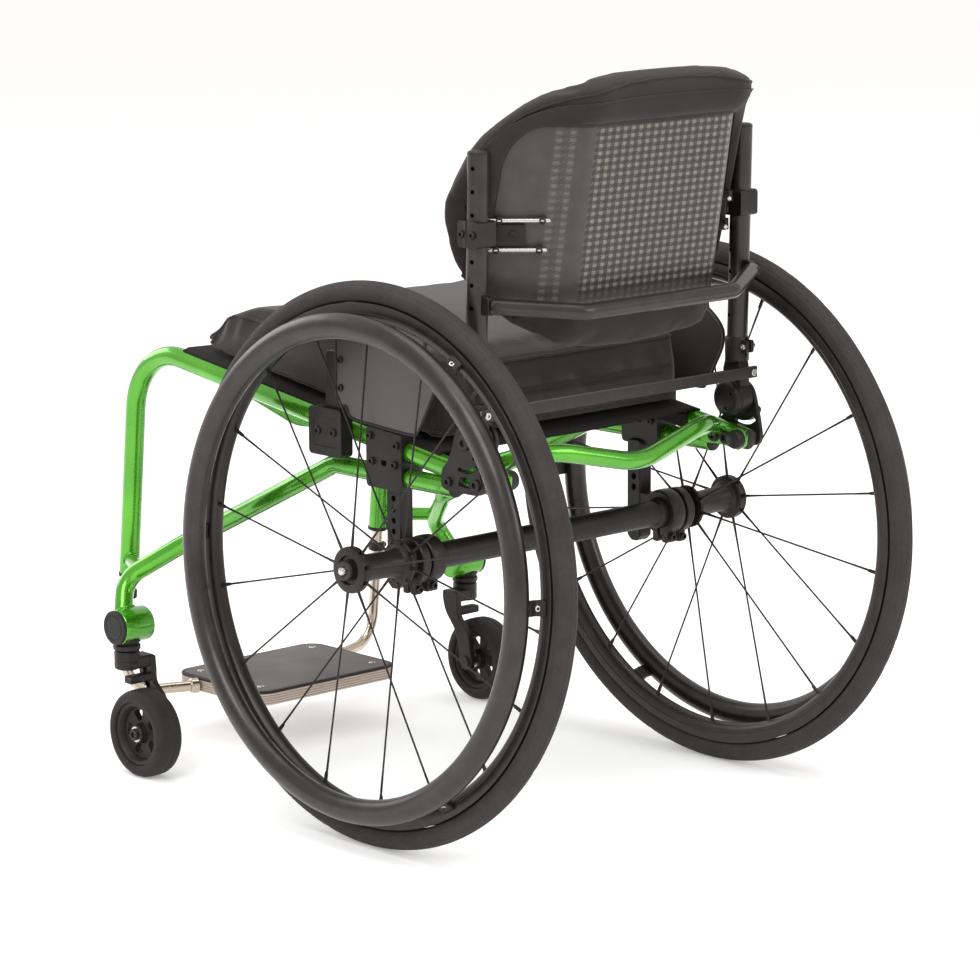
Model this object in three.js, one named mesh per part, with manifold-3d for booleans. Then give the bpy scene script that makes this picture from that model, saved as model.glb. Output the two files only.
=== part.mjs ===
// Manual wheelchair with a rigid tube frame, cambered quick-release wheels, single-sided
// caster forks, a tubular footrest and a fold-forward contoured back.
// Millimetres, +Z up. The chair faces -Y and +X is the occupant's left. Every dimension below
// is measured from the point on the floor under the middle of the rear axle; the finished
// group is then shifted along Y so that its box is centred on the origin.
import * as THREE from "three";
import { mergeVertices } from "three/addons/utils/BufferGeometryUtils.js";
import Module from "manifold-3d";

const wasm = await Module();
wasm.setup();

// ---- driving dimensions ------------------------------------------------------------------
const GAP = 0.4; // clearance left between touching pieces

const wheel = { radius: 300, tyre: 12.5, camber: 1.84, track: 252.5, segments: 48, spokes: 18, phase: 13.3 };
const rim = { inner: 257, outer: 277.6, half: 11 };
const handrim = { radius: 255, radial: 14, axial: 12, offset: 36, tabs: 6 };
const hub = { inner: -40, outer: 37, barrel: 15, flange: 24, bore: 6.8 };
const pin = { radius: 6.3, inner: -76, head: 11, proud: 6.4, button: 4.5, travel: 4 };

const caster = { x: 259.5, y: -417, radius: 50, half: 17, trail: 31, segments: 24 };
const barrel = { radius: 20, inner: 233, outer: 278, z: 168 };
const fork = { top: 140, bottom: 119, radius: 14.5, inner: -29, outer: -21 };

const rail = { x: 191, radius: 11.5, rear: 118, corner: -472, bend: 75, foot: 204 };
const seat = { height: 411, slope: 0.145, front: -385, rear: 40, half: 196 };
const lower = { radius: 10.5, z: 384 };
const leg = { y: -480, z: 411, lean: 0.09 };
const crossTube = 10;
const camberTube = { radius: 17, bore: 13, half: 207, z: 298 };
const post = { inner: 171, outer: 190, front: -50, rear: -30 };

const footplate = { half: 107.5, front: -525, rear: -367, bottom: 55, top: 69, corner: 22 };
const footTube = { radius: 6.4, top: 300, z: 62 };

const hinge = { y: 95, z: 438, boss: 19, pin: 5 };
const cane = { x: 195, radius: 10.5, bottom: 486, top: 740 };
const shell = { bottom: 566, top: 762, thick: 4, y: 169, flat: 98, tipX: 190, tipY: 92 };
const recline = 0.165;
const barZ = { low: 466, high: 479 };

const wheelPlaneRadius = wheel.radius - wheel.tyre;
const camberAngle = THREE.MathUtils.degToRad(wheel.camber);
const hubZ = wheelPlaneRadius * Math.cos(camberAngle) + wheel.tyre;
const axleToOrigin = -(footplate.front + wheel.radius) / 2;

const finish = (color, roughness, metalness) =>
  new THREE.MeshStandardMaterial({ color, roughness, metalness });
const green = finish(0x52b52e, 0.25, 0.5);
const black = finish(0x2f2c2c, 0.5, 0.3);
const satin = finish(0x45413f, 0.35, 0.5);
const rubber = finish(0x3a3838, 0.8, 0);
const titanium = finish(0xb5a795, 0.3, 0.9);
const silver = finish(0xc8c6c2, 0.25, 0.9);
const fabric = finish(0x3b3737, 0.9, 0);
const weave = finish(0x77706a, 0.6, 0.1);
const composite = finish(0xa89c92, 0.6, 0);
const grip = finish(0x6f6c6c, 0.9, 0);

// ---- geometry helpers --------------------------------------------------------------------
const vec = (x, y, z) => new THREE.Vector3(x, y, z);
const railZ = (y) => seat.height - seat.slope * y;
const legY = (z) => leg.y - leg.lean * (leg.z - z);

// A path of straight runs whose corners are rounded to a bend radius.
class BentPath extends THREE.Curve {
  constructor(corners, bend, steps = 6) {
    super();
    this.vertices = [corners[0]];
    for (let i = 1; i < corners.length - 1; i += 1) {
      const back = corners[i - 1].clone().sub(corners[i]);
      const ahead = corners[i + 1].clone().sub(corners[i]);
      const half = back.angleTo(ahead) / 2;
      const reach = Math.min(bend / Math.tan(half), 0.48 * back.length(), 0.48 * ahead.length());
      const start = corners[i].clone().addScaledVector(back.normalize(), reach);
      const end = corners[i].clone().addScaledVector(ahead.normalize(), reach);
      const arc = new THREE.QuadraticBezierCurve3(start, corners[i], end);
      this.vertices.push(...arc.getPoints(steps));
    }
    this.vertices.push(corners.at(-1));
    this.last = this.vertices.length - 1;
  }
  getPointAt(u) {
    return this.vertices[Math.round(u * this.last)].clone();
  }
  getTangentAt(u) {
    const i = Math.round(u * this.last);
    const before = this.vertices[Math.max(i - 1, 0)];
    const after = this.vertices[Math.min(i + 1, this.last)];
    return after.clone().sub(before).normalize();
  }
}

function regular(radius, sides) {
  const points = [];
  for (let i = 0; i < sides; i += 1) {
    const angle = (2 * Math.PI * i) / sides;
    points.push(new THREE.Vector2(radius * Math.cos(angle), radius * Math.sin(angle)));
  }
  return new THREE.Shape(points);
}

// A round tube or rod through a list of corners.
function tube(corners, radius, bend = 30, sides = 12, steps = 6) {
  const path = new BentPath(corners, bend, steps);
  const options = { steps: path.last, bevelEnabled: false, extrudePath: path };
  return new THREE.ExtrudeGeometry(regular(radius, sides), options);
}

// A body of revolution about the X axis from [axial, radius] pairs, counter-clockwise with
// the radius to the right.
function revolve(profile, segments = 24) {
  const points = profile.map(([axial, radius]) => new THREE.Vector2(radius, axial));
  return new THREE.LatheGeometry(points, segments).rotateZ(-Math.PI / 2);
}

// A wheel's tread: a facet, not a corner, meets the floor, at the stated radius.
function tread(profile, segments) {
  const grow = 1 / Math.cos(Math.PI / segments);
  return revolve(profile, segments).scale(1, grow, grow).rotateX(Math.PI / segments);
}

const disc = (x0, x1, radius, segments) =>
  revolve([[x0, 0], [x0, radius], [x1, radius], [x1, 0]], segments);

// A ring about the X axis with a rectangular section.
const ring = (x0, x1, inner, outer, segments) =>
  revolve([[x0, inner], [x0, outer], [x1, outer], [x1, inner], [x0, inner]], segments);

// An outline of [y, z] points extruded along X.
function slab(outline, x0, x1) {
  const shape = new THREE.Shape(outline.map(([y, z]) => new THREE.Vector2(y, z)));
  const flat = new THREE.ExtrudeGeometry(shape, { depth: x1 - x0, bevelEnabled: false });
  const turn = new THREE.Matrix4().makeBasis(vec(0, 1, 0), vec(0, 0, 1), vec(1, 0, 0));
  return flat.applyMatrix4(turn).translate(x0, 0, 0);
}

// An outline of [x, y] points extruded along Z.
function plate(outline, z0, z1) {
  const shape = new THREE.Shape(outline.map(([x, y]) => new THREE.Vector2(x, y)));
  const flat = new THREE.ExtrudeGeometry(shape, { depth: z1 - z0, bevelEnabled: false });
  return flat.translate(0, 0, z0);
}

// An outline of [x, z] points extruded along Y.
function panel(outline, y0, y1) {
  const shape = new THREE.Shape(outline.map(([x, z]) => new THREE.Vector2(x, z)));
  const flat = new THREE.ExtrudeGeometry(shape, { depth: y1 - y0, bevelEnabled: false });
  return flat.rotateX(Math.PI / 2).translate(0, y1, 0);
}

function box(x0, x1, y0, y1, z0, z1) {
  const geometry = new THREE.BoxGeometry(x1 - x0, y1 - y0, z1 - z0);
  return geometry.translate((x0 + x1) / 2, (y0 + y1) / 2, (z0 + z1) / 2);
}

const upright = (x, y, z0, z1, radius, sides = 20) =>
  disc(z0, z1, radius, sides).rotateY(-Math.PI / 2).translate(x, y, 0);

// The closed solid that a geometry bounds, with its shared vertices merged.
function toSolid(geometry) {
  const bare = geometry.clone();
  bare.deleteAttribute("normal");
  bare.deleteAttribute("uv");
  const merged = mergeVertices(bare, 1e-3);
  const triangles = [];
  for (let i = 0; i < merged.index.count; i += 3) {
    const [a, b, c] = [0, 1, 2].map((k) => merged.index.getX(i + k));
    if (a !== b && b !== c && c !== a) triangles.push(a, b, c);
  }
  return new wasm.Manifold(new wasm.Mesh({
    numProp: 3,
    vertProperties: merged.attributes.position.array,
    triVerts: Uint32Array.from(triangles),
  }));
}

function toGeometry(solid) {
  const mesh = solid.getMesh();
  const geometry = new THREE.BufferGeometry();
  geometry.setAttribute("position", new THREE.BufferAttribute(mesh.vertProperties, 3));
  geometry.setIndex(new THREE.BufferAttribute(mesh.triVerts, 1));
  geometry.computeVertexNormals();
  return geometry;
}

const join = (...pieces) =>
  toGeometry(pieces.map(toSolid).reduce((whole, piece) => whole.add(piece)));
const cut = (piece, ...tools) =>
  toGeometry(tools.map(toSolid).reduce((rest, tool) => rest.subtract(tool), toSolid(piece)));
const overlap = (a, b) => toGeometry(toSolid(a).intersect(toSolid(b)));

// The same geometry on the chair's other side, with its faces still pointing out.
function mirror(geometry) {
  const flipped = toGeometry(toSolid(geometry)).scale(-1, 1, 1);
  flipped.index.array.reverse();
  flipped.computeVertexNormals();
  return flipped;
}

const chair = new THREE.Group();
const sides = [["left", 1], ["right", -1]];

function add(name, geometry, material, parent = chair) {
  const mesh = new THREE.Mesh(geometry, material);
  mesh.name = name;
  parent.add(mesh);
}

function addPair(name, geometry, material) {
  add(`${name}_left`, geometry, material);
  add(`${name}_right`, mirror(geometry), material);
}

// ---- rear wheels -------------------------------------------------------------------------
function tyreGeometry() {
  const [low, high, wide] = [rim.outer + GAP, wheel.radius, wheel.tyre];
  return tread([
    [-10, low], [-wide, wheelPlaneRadius], [-8.5, high - 3.6], [0, high], [8.5, high - 3.6],
    [wide, wheelPlaneRadius], [10, low], [-10, low],
  ], wheel.segments);
}

function rimGeometry() {
  const { inner, outer, half } = rim;
  return revolve([
    [-5, inner], [-half, inner + 7], [-half, outer], [half, outer], [half, inner + 7],
    [5, inner], [-5, inner],
  ], wheel.segments);
}

// A rod from one point to another, with its section square to the line between them.
function rod(from, to, radius, sides = 6) {
  return tube([from, to], radius, 0, sides);
}

function hubGeometry() {
  const { inner, outer, barrel: neck, flange, bore } = hub;
  const spool = revolve([
    [inner, bore], [inner, 14], [inner + 3, flange], [inner + 7, flange], [inner + 9, neck],
    [outer - 12, neck], [outer - 10, flange + 1], [outer - 2, flange + 1], [outer, flange - 2],
    [outer, bore], [inner, bore],
  ], 16);
  const pieces = [spool];
  for (let i = 0; i < wheel.spokes; i += 1) {
    const angle = THREE.MathUtils.degToRad(wheel.phase) + (2 * Math.PI * i) / wheel.spokes;
    const [c, s] = [Math.cos(angle), Math.sin(angle)];
    const flangeX = i % 2 ? inner + 5 : outer - 7;
    const near = vec(flangeX, c * (flange - 5), s * (flange - 5));
    const far = vec(0, c * (rim.inner - GAP - 0.4), s * (rim.inner - GAP - 0.4));
    pieces.push(rod(near, far, 1.4, 4));
  }
  return join(...pieces);
}

function handrimGeometry() {
  const { radius, radial, axial, offset, tabs } = handrim;
  const profile = [];
  for (let i = 0; i <= 6; i += 1) {
    const angle = (2 * Math.PI * i) / 6;
    profile.push([offset + axial * Math.sin(angle), radius + radial * Math.cos(angle)]);
  }
  const pieces = [revolve(profile, wheel.segments)];
  for (let i = 0; i < tabs; i += 1) {
    const tab = box(rim.half + GAP, offset, -9, 9, radius + 4, radius + 12);
    pieces.push(tab.rotateX((2 * Math.PI * (i + 0.5)) / tabs));
  }
  return join(...pieces);
}

// The axle has a pocket in its outer end for the push button that frees its locking balls.
function axlePinGeometry() {
  const pocket = pin.button + GAP;
  const bottom = hub.outer - pin.travel - GAP;
  const face = hub.outer + pin.proud;
  return revolve([
    [pin.inner, 0], [pin.inner, pin.radius], [hub.outer + GAP, pin.radius],
    [hub.outer + GAP, pin.head], [face, pin.head], [face, pocket], [bottom, pocket], [bottom, 0],
  ], 16);
}

// The plug that sets the camber: a stem in the tube's bore and a flange against the hub.
function camberPlugGeometry() {
  const [stem, face, end] = [camberTube.bore + 1, -44.4, hub.inner - 0.6];
  const plug = revolve([
    [pin.inner + 2, hub.bore], [pin.inner + 2, stem], [face, stem], [face, 18], [end, 18],
    [end, hub.bore], [pin.inner + 2, hub.bore],
  ], 16);
  return plug.rotateY(-camberAngle).translate(wheel.track, 0, hubZ);
}

for (const [side, sign] of sides) {
  const handed = (geometry) => (sign > 0 ? geometry : mirror(geometry));
  const corner = new THREE.Group();
  corner.position.set(sign * wheel.track, 0, hubZ);
  corner.rotation.y = -sign * camberAngle;
  chair.add(corner);
  add(`tyre_${side}`, handed(tyreGeometry()), rubber, corner);
  add(`rim_${side}`, handed(rimGeometry()), satin, corner);
  add(`hub_and_spokes_${side}`, handed(hubGeometry()), black, corner);
  add(`handrim_${side}`, handed(handrimGeometry()), satin, corner);
  add(`axle_pin_${side}`, handed(axlePinGeometry()), silver, corner);
  const button = disc(hub.outer, hub.outer + pin.proud + pin.travel, pin.button, 16);
  add(`axle_button_${side}`, handed(button), silver, corner);
}

// ---- casters -----------------------------------------------------------------------------
function casterTyreGeometry() {
  const { radius, half } = caster;
  return tread([
    [-half + 2, 36], [-half, 40], [-half + 3, 47], [-7, radius], [7, radius],
    [half - 3, 47], [half, 40], [half - 2, 36], [-half + 2, 36],
  ], caster.segments);
}

function casterCoreGeometry() {
  const core = revolve([
    [-14, 4.4], [-14, 10], [-4, 11], [-4, 28], [-13, 31], [-13, 35.6], [13, 35.6], [13, 31],
    [4, 28], [4, 11], [14, 10], [14, 4.4], [-14, 4.4],
  ], caster.segments);
  const holes = [];
  for (let i = 0; i < 5; i += 1) {
    const angle = (2 * Math.PI * i) / 5;
    holes.push(disc(-20, 20, 6, 8).translate(0, 19.5 * Math.cos(angle), 19.5 * Math.sin(angle)));
  }
  return cut(core, ...holes);
}

// The fork's single leg runs down the inner side of the caster wheel, from a crown that
// turns under the stem housing.
function forkGeometry() {
  const { inner, outer, top, bottom, radius } = fork;
  const axle = caster.trail;
  const crown = upright(0, 0, bottom, top, radius, 20);
  const bridge = box(inner, 0, -9, 14, bottom + 1, top - 6);
  const arm = slab([
    [-9, top - 6], [-9, bottom], [axle - 24, 92], [axle - 10, 46], [axle - 4, 41], [axle + 4, 41],
    [axle + 10, 46], [axle + 8, 80], [16, 122], [10, top - 6],
  ], inner, outer);
  const lug = box(inner, 8, 5, 19, 104, 114);
  const hole = disc(inner - 1, outer + 1, 4.5, 16).translate(0, axle, caster.radius);
  return cut(join(crown, bridge, arm, lug), hole);
}

function casterBoltGeometry() {
  const [head, end] = [fork.inner - 4, 19];
  return revolve([
    [head, 0], [head, 7.5], [fork.inner - GAP, 7.5], [fork.inner - GAP, 4], [14.4, 4], [14.4, 7],
    [end, 7], [end, 0],
  ], 16);
}

const barrelGeometry = (spare = 0) =>
  disc(barrel.inner - spare, barrel.outer, barrel.radius + spare, 28)
    .translate(0, caster.y, barrel.z);

for (const [side, sign] of sides) {
  const handed = (geometry) => (sign > 0 ? geometry : mirror(geometry));
  const swivel = new THREE.Group();
  swivel.position.set(sign * caster.x, caster.y, 0);
  chair.add(swivel);
  add(`caster_fork_${side}`, handed(forkGeometry()), black, swivel);
  const axle = new THREE.Group();
  axle.position.set(0, caster.trail, caster.radius);
  swivel.add(axle);
  add(`caster_tyre_${side}`, casterTyreGeometry(), rubber, axle);
  add(`caster_core_${side}`, handed(casterCoreGeometry()), black, axle);
  add(`caster_bolt_${side}`, handed(casterBoltGeometry()), silver, axle);
}

const housing = upright(caster.x, caster.y, fork.top + 0.6, barrel.z, 16, 20);
addPair("stem_housing", cut(housing, barrelGeometry(GAP)), black);
addPair("caster_barrel", barrelGeometry(), green);

// ---- welded frame ------------------------------------------------------------------------
const railCorners = [
  vec(rail.x, rail.rear, railZ(rail.rear)),
  vec(rail.x, rail.corner, railZ(rail.corner)),
  vec(rail.x, legY(rail.foot), rail.foot),
];
const railTube = (spare = 0) => tube(railCorners, rail.radius + spare, rail.bend, 12, 7);
const legBore = rod(
  vec(rail.x, legY(rail.foot - 20), rail.foot - 20), vec(rail.x, legY(345), 345), 7.4, 12);
addPair("seat_rail", cut(railTube(), legBore), green);

const lowerTube = tube([
  vec(193, 62, lower.z), vec(193, -130, lower.z), vec(195, -382, 262), vec(236, -448, 214),
  vec(252, -436, 172),
], lower.radius, 34, 10, 4);
const legBridge = rod(vec(rail.x, legY(222), 222), vec(226, -434, 226), 8, 10);
addPair("lower_tube", cut(
  join(lowerTube, legBridge), railTube(GAP), barrelGeometry(GAP)), green);

const frontCross = tube([
  vec(-rail.x, -285, 450), vec(-112, -285, 404), vec(0, -285, 392), vec(112, -285, 404),
  vec(rail.x, -285, 450),
], crossTube, 60, 10, 3);
add("front_cross_tube", cut(frontCross, railTube(GAP), mirror(railTube(GAP))), green);

const gussetX = rail.x - rail.radius - GAP;
const gusset = slab([[62, 386], [126, 386], [130, 398], [124, 408], [62, 412]], gussetX - 5, gussetX);
const rearBow = tube([
  vec(2 - gussetX, 78, 404), vec(-122, 122, 423), vec(0, 140, 396), vec(122, 122, 423),
  vec(gussetX - 2, 78, 404),
], crossTube, 110, 12, 3);
const gussetSide = box(gussetX, gussetX + 20, 40, 140, 370, 440);
add("rear_cross_tube", cut(
  join(rearBow, gusset, mirror(gusset)), gussetSide, mirror(gussetSide)), green);

// ---- axle ----------------------------------------------------------------------------------
const axleTube = ring(-camberTube.half, camberTube.half, camberTube.bore, camberTube.radius, 20);
const camberBeam = axleTube.translate(0, 0, camberTube.z);
add("camber_tube", join(camberBeam, camberPlugGeometry(), mirror(camberPlugGeometry())), black);
const tubeClearance = disc(-220, 220, camberTube.radius + GAP, 20).translate(0, 0, camberTube.z);

function axlePostGeometry() {
  const { inner, outer, front, rear } = post;
  const top = rail.radius - 0.1;
  const railBlock = slab([
    [-64, 371], [-8, 371], [-8, railZ(-8) + top], [-64, railZ(-64) + top],
  ], inner + 5, 207);
  const column = box(inner, outer, front, rear, 262, 376);
  const collar = disc(inner, outer, 25, 24).translate(0, 0, camberTube.z);
  const neck = box(inner, outer, rear - 5, -10, camberTube.z - 22, camberTube.z + 22);
  const lowerCut = rod(vec(193, 90, lower.z), vec(193, -131, lower.z), lower.radius + GAP, 12);
  const body = join(railBlock, column, collar, neck);
  return cut(body, railTube(GAP), lowerCut, tubeClearance);
}
addPair("axle_post", axlePostGeometry(), black);

const clampRing = disc(193, 205, 25, 24).translate(0, 0, camberTube.z);
const clampLug = box(193, 205, -9, 9, camberTube.z - 36, camberTube.z - 14);
addPair("camber_clamp", cut(join(clampRing, clampLug), tubeClearance), black);

// ---- footrest ------------------------------------------------------------------------------
const plateOutline = (inset) => {
  const [x, r] = [footplate.half - inset, footplate.corner - inset];
  const [front, rear] = [footplate.front + inset, footplate.rear - inset];
  const points = [];
  for (const [cx, cy, start] of [
    [x - r, rear - r, 0], [r - x, rear - r, 90], [r - x, front + r, 180], [x - r, front + r, 270],
  ]) {
    for (let i = 0; i <= 4; i += 1) {
      const angle = THREE.MathUtils.degToRad(start + i * 22.5);
      points.push([cx + r * Math.cos(angle), cy + r * Math.sin(angle)]);
    }
  }
  return points;
};
add("footplate", plate(plateOutline(0), footplate.bottom, footplate.top), composite);
add("footplate_grip", plate(plateOutline(2), footplate.top + GAP, footplate.top + 3), grip);

const footRun = tube([
  vec(rail.x, legY(footTube.top), footTube.top), vec(rail.x, legY(footTube.z), footTube.z),
  vec(60, -462, footTube.z),
], footTube.radius, 38, 10, 5);
const plateSide = footplate.half + GAP;
addPair("foot_tube", cut(footRun, box(0, plateSide, -540, -400, 40, 90)), titanium);

const collarAt = rail.foot - 24;
const legCollar = ring(collarAt, collarAt + 9, footTube.radius + GAP, 10.5, 16)
  .rotateY(-Math.PI / 2).rotateX(-Math.atan(leg.lean))
  .translate(rail.x, legY(collarAt) + leg.lean * collarAt, 0);
addPair("leg_collar", legCollar, black);

// ---- seat ----------------------------------------------------------------------------------
const over = rail.radius + 0.8;
const sling = slab([
  [seat.front, railZ(seat.front) + over], [seat.rear, railZ(seat.rear) + over],
  [seat.rear, railZ(seat.rear) + over + 4], [seat.front, railZ(seat.front) + over + 4],
], -seat.half, seat.half);
add("seat_sling", sling, fabric);

const cushionHalf = 183;
const cushion = slab([
  [-365, railZ(-365) + 19], [25, railZ(25) + 19], [27, 506], [18, 512], [-322, 528], [-334, 525],
  [-373, 492],
], -cushionHalf, cushionHalf);
add("seat_cushion", cushion, fabric);

// Side guards lift out of the receivers: each has a post that slides in a blind slot.
const guardX = { inner: 213, outer: 216 };
const guardPlate = slab([
  [-100, 458], [-84, 454], [-78, 442], [18, 437], [30, 442], [56, 490], [52, 512], [20, 534], [-30, 545],
  [-80, 545], [-100, 536],
], guardX.inner, guardX.outer);
const guardPost = box(207.4, 216, -122, -96, 404, 512);
addPair("side_guard", join(guardPlate, guardPost), satin);

const receiver = box(rail.x + rail.radius + GAP, 220, -146, -84, 398, 450);
const slot = box(206.8, 216.6, -122.6, -95.4, 402, 460);
addPair("guard_receiver", cut(receiver, slot, railTube(GAP)), black);

// ---- back ----------------------------------------------------------------------------------
const bracketX = { inner: 204.2, outer: 209.4 };
const bracket = slab([
  [58, 384], [124, 384], [131, 396], [126, 412], [112, 446], [100, 456], [88, 456], [78, 448],
  [70, 424], [58, 414],
], bracketX.inner, bracketX.outer);
const pinHole = disc(180, 220, hinge.pin + GAP, 16).translate(0, hinge.y, hinge.z);
const pivot = revolve([
  [177, 0], [177, 17], [179, 19.5], [185, 19.5], [185, hinge.pin], [211, hinge.pin], [211, 0],
], 20).translate(0, hinge.y, hinge.z);
addPair("back_bracket", join(bracket, pivot), black);

const caneY = (z) => 96 + 0.02 * (z - cane.bottom);
const caneGeometry = rod(
  vec(cane.x, caneY(cane.bottom), cane.bottom), vec(cane.x, caneY(cane.top), cane.top),
  cane.radius, 14);
addPair("back_cane", caneGeometry, satin);

// The socket holds the cane's foot and turns on the pivot between cap and bracket.
const cup = upright(cane.x, caneY(490), 479, 506, 13.5, 16);
const boss = disc(186, 203.4, hinge.boss, 20).translate(0, hinge.y, hinge.z);
const tongue = box(187, 203, 84, 107, 444, 486);
const caneBore = rod(
  vec(cane.x, caneY(cane.bottom - 0.5), cane.bottom - 0.5), vec(cane.x, caneY(520), 520),
  cane.radius + GAP, 14);
addPair("cane_socket", cut(join(cup, boss, tongue), caneBore, pinHole), black);

// Half of the shell's plan as [x, y], from the middle to the wing tip, at the height of its
// top; the wings sweep forward past the canes.
const shellPlan = (offset) => {
  const right = [
    [shell.flat, shell.y + offset], [shell.flat + 18, shell.y - 6 + offset],
    [shell.tipX, shell.tipY + offset * 1.2],
  ];
  const left = right.map(([x, y]) => [-x, y]).reverse();
  return [...right.reverse(), ...left.reverse()];
};
const band = (rear, front) => [...shellPlan(rear), ...shellPlan(front).reverse()];
const shear = new THREE.Matrix4().makeShear(0, 0, 0, 0, 0, recline);
const reclined = (geometry) => geometry.applyMatrix4(shear).translate(0, -recline * shell.top, 0);
const shellFace = [
  [-150, shell.bottom], [150, shell.bottom], [176, 600], [189, 660], [189, 700], [170, 745],
  [135, shell.top], [-135, shell.top], [-170, 745], [-189, 700], [-189, 660], [-176, 600],
];
const shellBand = reclined(plate(band(0, -shell.thick), shell.bottom - 5, shell.top + 5));
const shellGeometry = overlap(shellBand, panel(shellFace, 0, 200));
add("back_shell", shellGeometry, weave);

// The pad lines the shell and rolls over its top edge; its lower hem hangs below the shell.
const padPlan = [
  ...shellPlan(-shell.thick - GAP), [-196, 78], [-197, 68], [-182, 62], [-96, 129], [96, 129],
  [182, 62], [197, 68], [196, 78],
];
const padFace = [
  [-60, 519], [0, 515], [60, 519], [120, 531], [155, 552], [180, 588], [195, 640], [198, 690],
  [193, 730], [180, 758], [152, 784], [120, 800], [60, 813], [0, 816], [-60, 813], [-120, 800],
  [-152, 784], [-180, 758], [-193, 730], [-198, 690], [-195, 640], [-180, 588], [-155, 552],
  [-120, 531],
];
const padBody = overlap(reclined(plate(padPlan, 500, 830)), panel(padFace, 0, 200));
const rollBand = reclined(plate(band(12, -24), shell.top + GAP + 0.2, 830));
const roll = overlap(rollBand, panel(padFace, 0, 220));
add("back_pad", join(padBody, roll), fabric);

const barGeometry = tube([
  vec(cane.x, caneY(584) + cane.radius + 9, 584), vec(110, 170, 576), vec(-110, 170, 576),
  vec(-cane.x, caneY(584) + cane.radius + 9, 584),
], 8.5, 24, 10, 4);
add("rigidizer_bar", barGeometry, satin);

// Clamps tie the shell's wings to the canes.
const clampBody = box(183, 208, 78, 116, 640, 668);
const armBand = reclined(plate(band(11, 0.6), 600, 700));
const clampArm = overlap(armBand, box(142, 190, 60, 140, 644, 664));
const clampCane = rod(vec(cane.x, caneY(600), 600), vec(cane.x, caneY(700), 700),
  cane.radius + GAP, 14);
const wingClearance = reclined(plate(band(0.6, -80), 600, 700));
addPair("cane_clamp", cut(join(clampBody, clampArm), clampCane, wingClearance), black);

add("release_bar", box(-207, 207, 112, 117, barZ.low, barZ.high), satin);

chair.position.y = axleToOrigin;
chair.updateMatrixWorld(true);

export default chair;
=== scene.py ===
"""The looks of a manual wheelchair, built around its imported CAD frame.

Every piece is made in millimetres from the point on the floor under the middle of the rear
axle, as the left one of its pair, and build() moves it into the frame in metres and mirrors it.
"""
from math import cos, hypot, pi, radians, sin, sqrt, tan

import bmesh
import bpy
from mathutils import Matrix, Vector
from mathutils.bvhtree import BVHTree


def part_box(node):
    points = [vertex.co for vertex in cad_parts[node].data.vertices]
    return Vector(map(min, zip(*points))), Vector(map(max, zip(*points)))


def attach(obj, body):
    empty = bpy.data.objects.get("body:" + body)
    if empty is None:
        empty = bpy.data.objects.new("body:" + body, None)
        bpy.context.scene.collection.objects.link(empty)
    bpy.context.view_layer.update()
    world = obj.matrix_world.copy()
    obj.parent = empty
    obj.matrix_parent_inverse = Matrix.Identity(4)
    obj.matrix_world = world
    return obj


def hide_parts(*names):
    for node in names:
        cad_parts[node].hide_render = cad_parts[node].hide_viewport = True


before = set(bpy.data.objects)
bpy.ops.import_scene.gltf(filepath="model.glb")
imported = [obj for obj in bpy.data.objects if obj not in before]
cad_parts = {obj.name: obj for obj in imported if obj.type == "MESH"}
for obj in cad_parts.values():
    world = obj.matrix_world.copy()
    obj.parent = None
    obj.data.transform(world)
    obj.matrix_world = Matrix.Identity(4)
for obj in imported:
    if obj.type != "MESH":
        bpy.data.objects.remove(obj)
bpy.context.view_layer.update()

# ---- driving dimensions, in millimetres ----------------------------------------------------
MM = 0.001
tube_low, tube_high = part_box("camber_tube")
AXLE_Y = (tube_low.y + tube_high.y) / 2
LEFT, RIGHT = 1, -1
SIDES = {"left": LEFT, "right": RIGHT}

WHEEL_RADIUS, TYRE_HALF, TRACK, CAMBER = 300, 12.5, 252.5, radians(1.84)
HUB_Z = (WHEEL_RADIUS - TYRE_HALF) * cos(CAMBER) + TYRE_HALF
RIM_INNER, RIM_OUTER = 257, 277.6
HANDRIM = {"radius": 255, "radial": 14, "axial": 12, "offset": 36}
HUB_INNER, HUB_OUTER, PIN_PROUD, PIN_TRAVEL = -40, 37, 6.4, 4
SPOKES = 18
SPOKE_START = {"left": 13.3, "right": 10}

CASTER_X, CASTER_Y, CASTER_RADIUS, TRAIL = 259.5, -417, 50, 31
BARREL = {"radius": 20, "inner": 233, "outer": 278, "z": 168}

RAIL_X, RAIL_R, RAIL_REAR, RAIL_CORNER, RAIL_BEND, LEG_FOOT = 191, 11.5, 118, -472, 75, 204
SEAT_HEIGHT, SEAT_SLOPE, SEAT_FRONT, SEAT_REAR, SEAT_HALF = 411, 0.145, -385, 40, 196
LOWER_R, LOWER_Z, CROSS_R = 10.5, 384, 10
LEG_Y, LEG_LEAN = -480, 0.09
CAMBER_TUBE_R, CAMBER_TUBE_Z = 17, 298
PLATE_HALF, PLATE_FRONT, PLATE_REAR, PLATE_BOTTOM, PLATE_TOP = 107.5, -525, -367, 55, 69
FOOT_R, FOOT_Z = 6.4, 62
HINGE_Y, HINGE_Z = 95, 438
CANE_X, CANE_R, CANE_BOTTOM, CANE_TOP = 195, 11.4, 486, 740
SHELL = {"lean_z": 762, "thick": 3, "y": 169, "corner": 109.7, "bend": 30, "tip": (209.1, 73.9)}
RECLINE = 0.165
BAR_Z, RELEASE_Y, RELEASE_Z = 581, 114.5, 467.5
OUTWARD, INWARD = Vector((1, 0, 0)), Vector((-1, 0, 0))
REARWARD, UPWARD = Vector((0, 1, 0)), Vector((0, 0, 1))


def rail_z(y):
    return SEAT_HEIGHT - SEAT_SLOPE * y


def leg_y(z):
    return LEG_Y - LEG_LEAN * (SEAT_HEIGHT - z)


def cane_y(z):
    return 96 + 0.02 * (z - CANE_BOTTOM)


# ---- paths and forms -------------------------------------------------------------------------
# A form is (points, faces): plain lists, in millimetres.
def vec(*xyz):
    return Vector(xyz)


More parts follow.
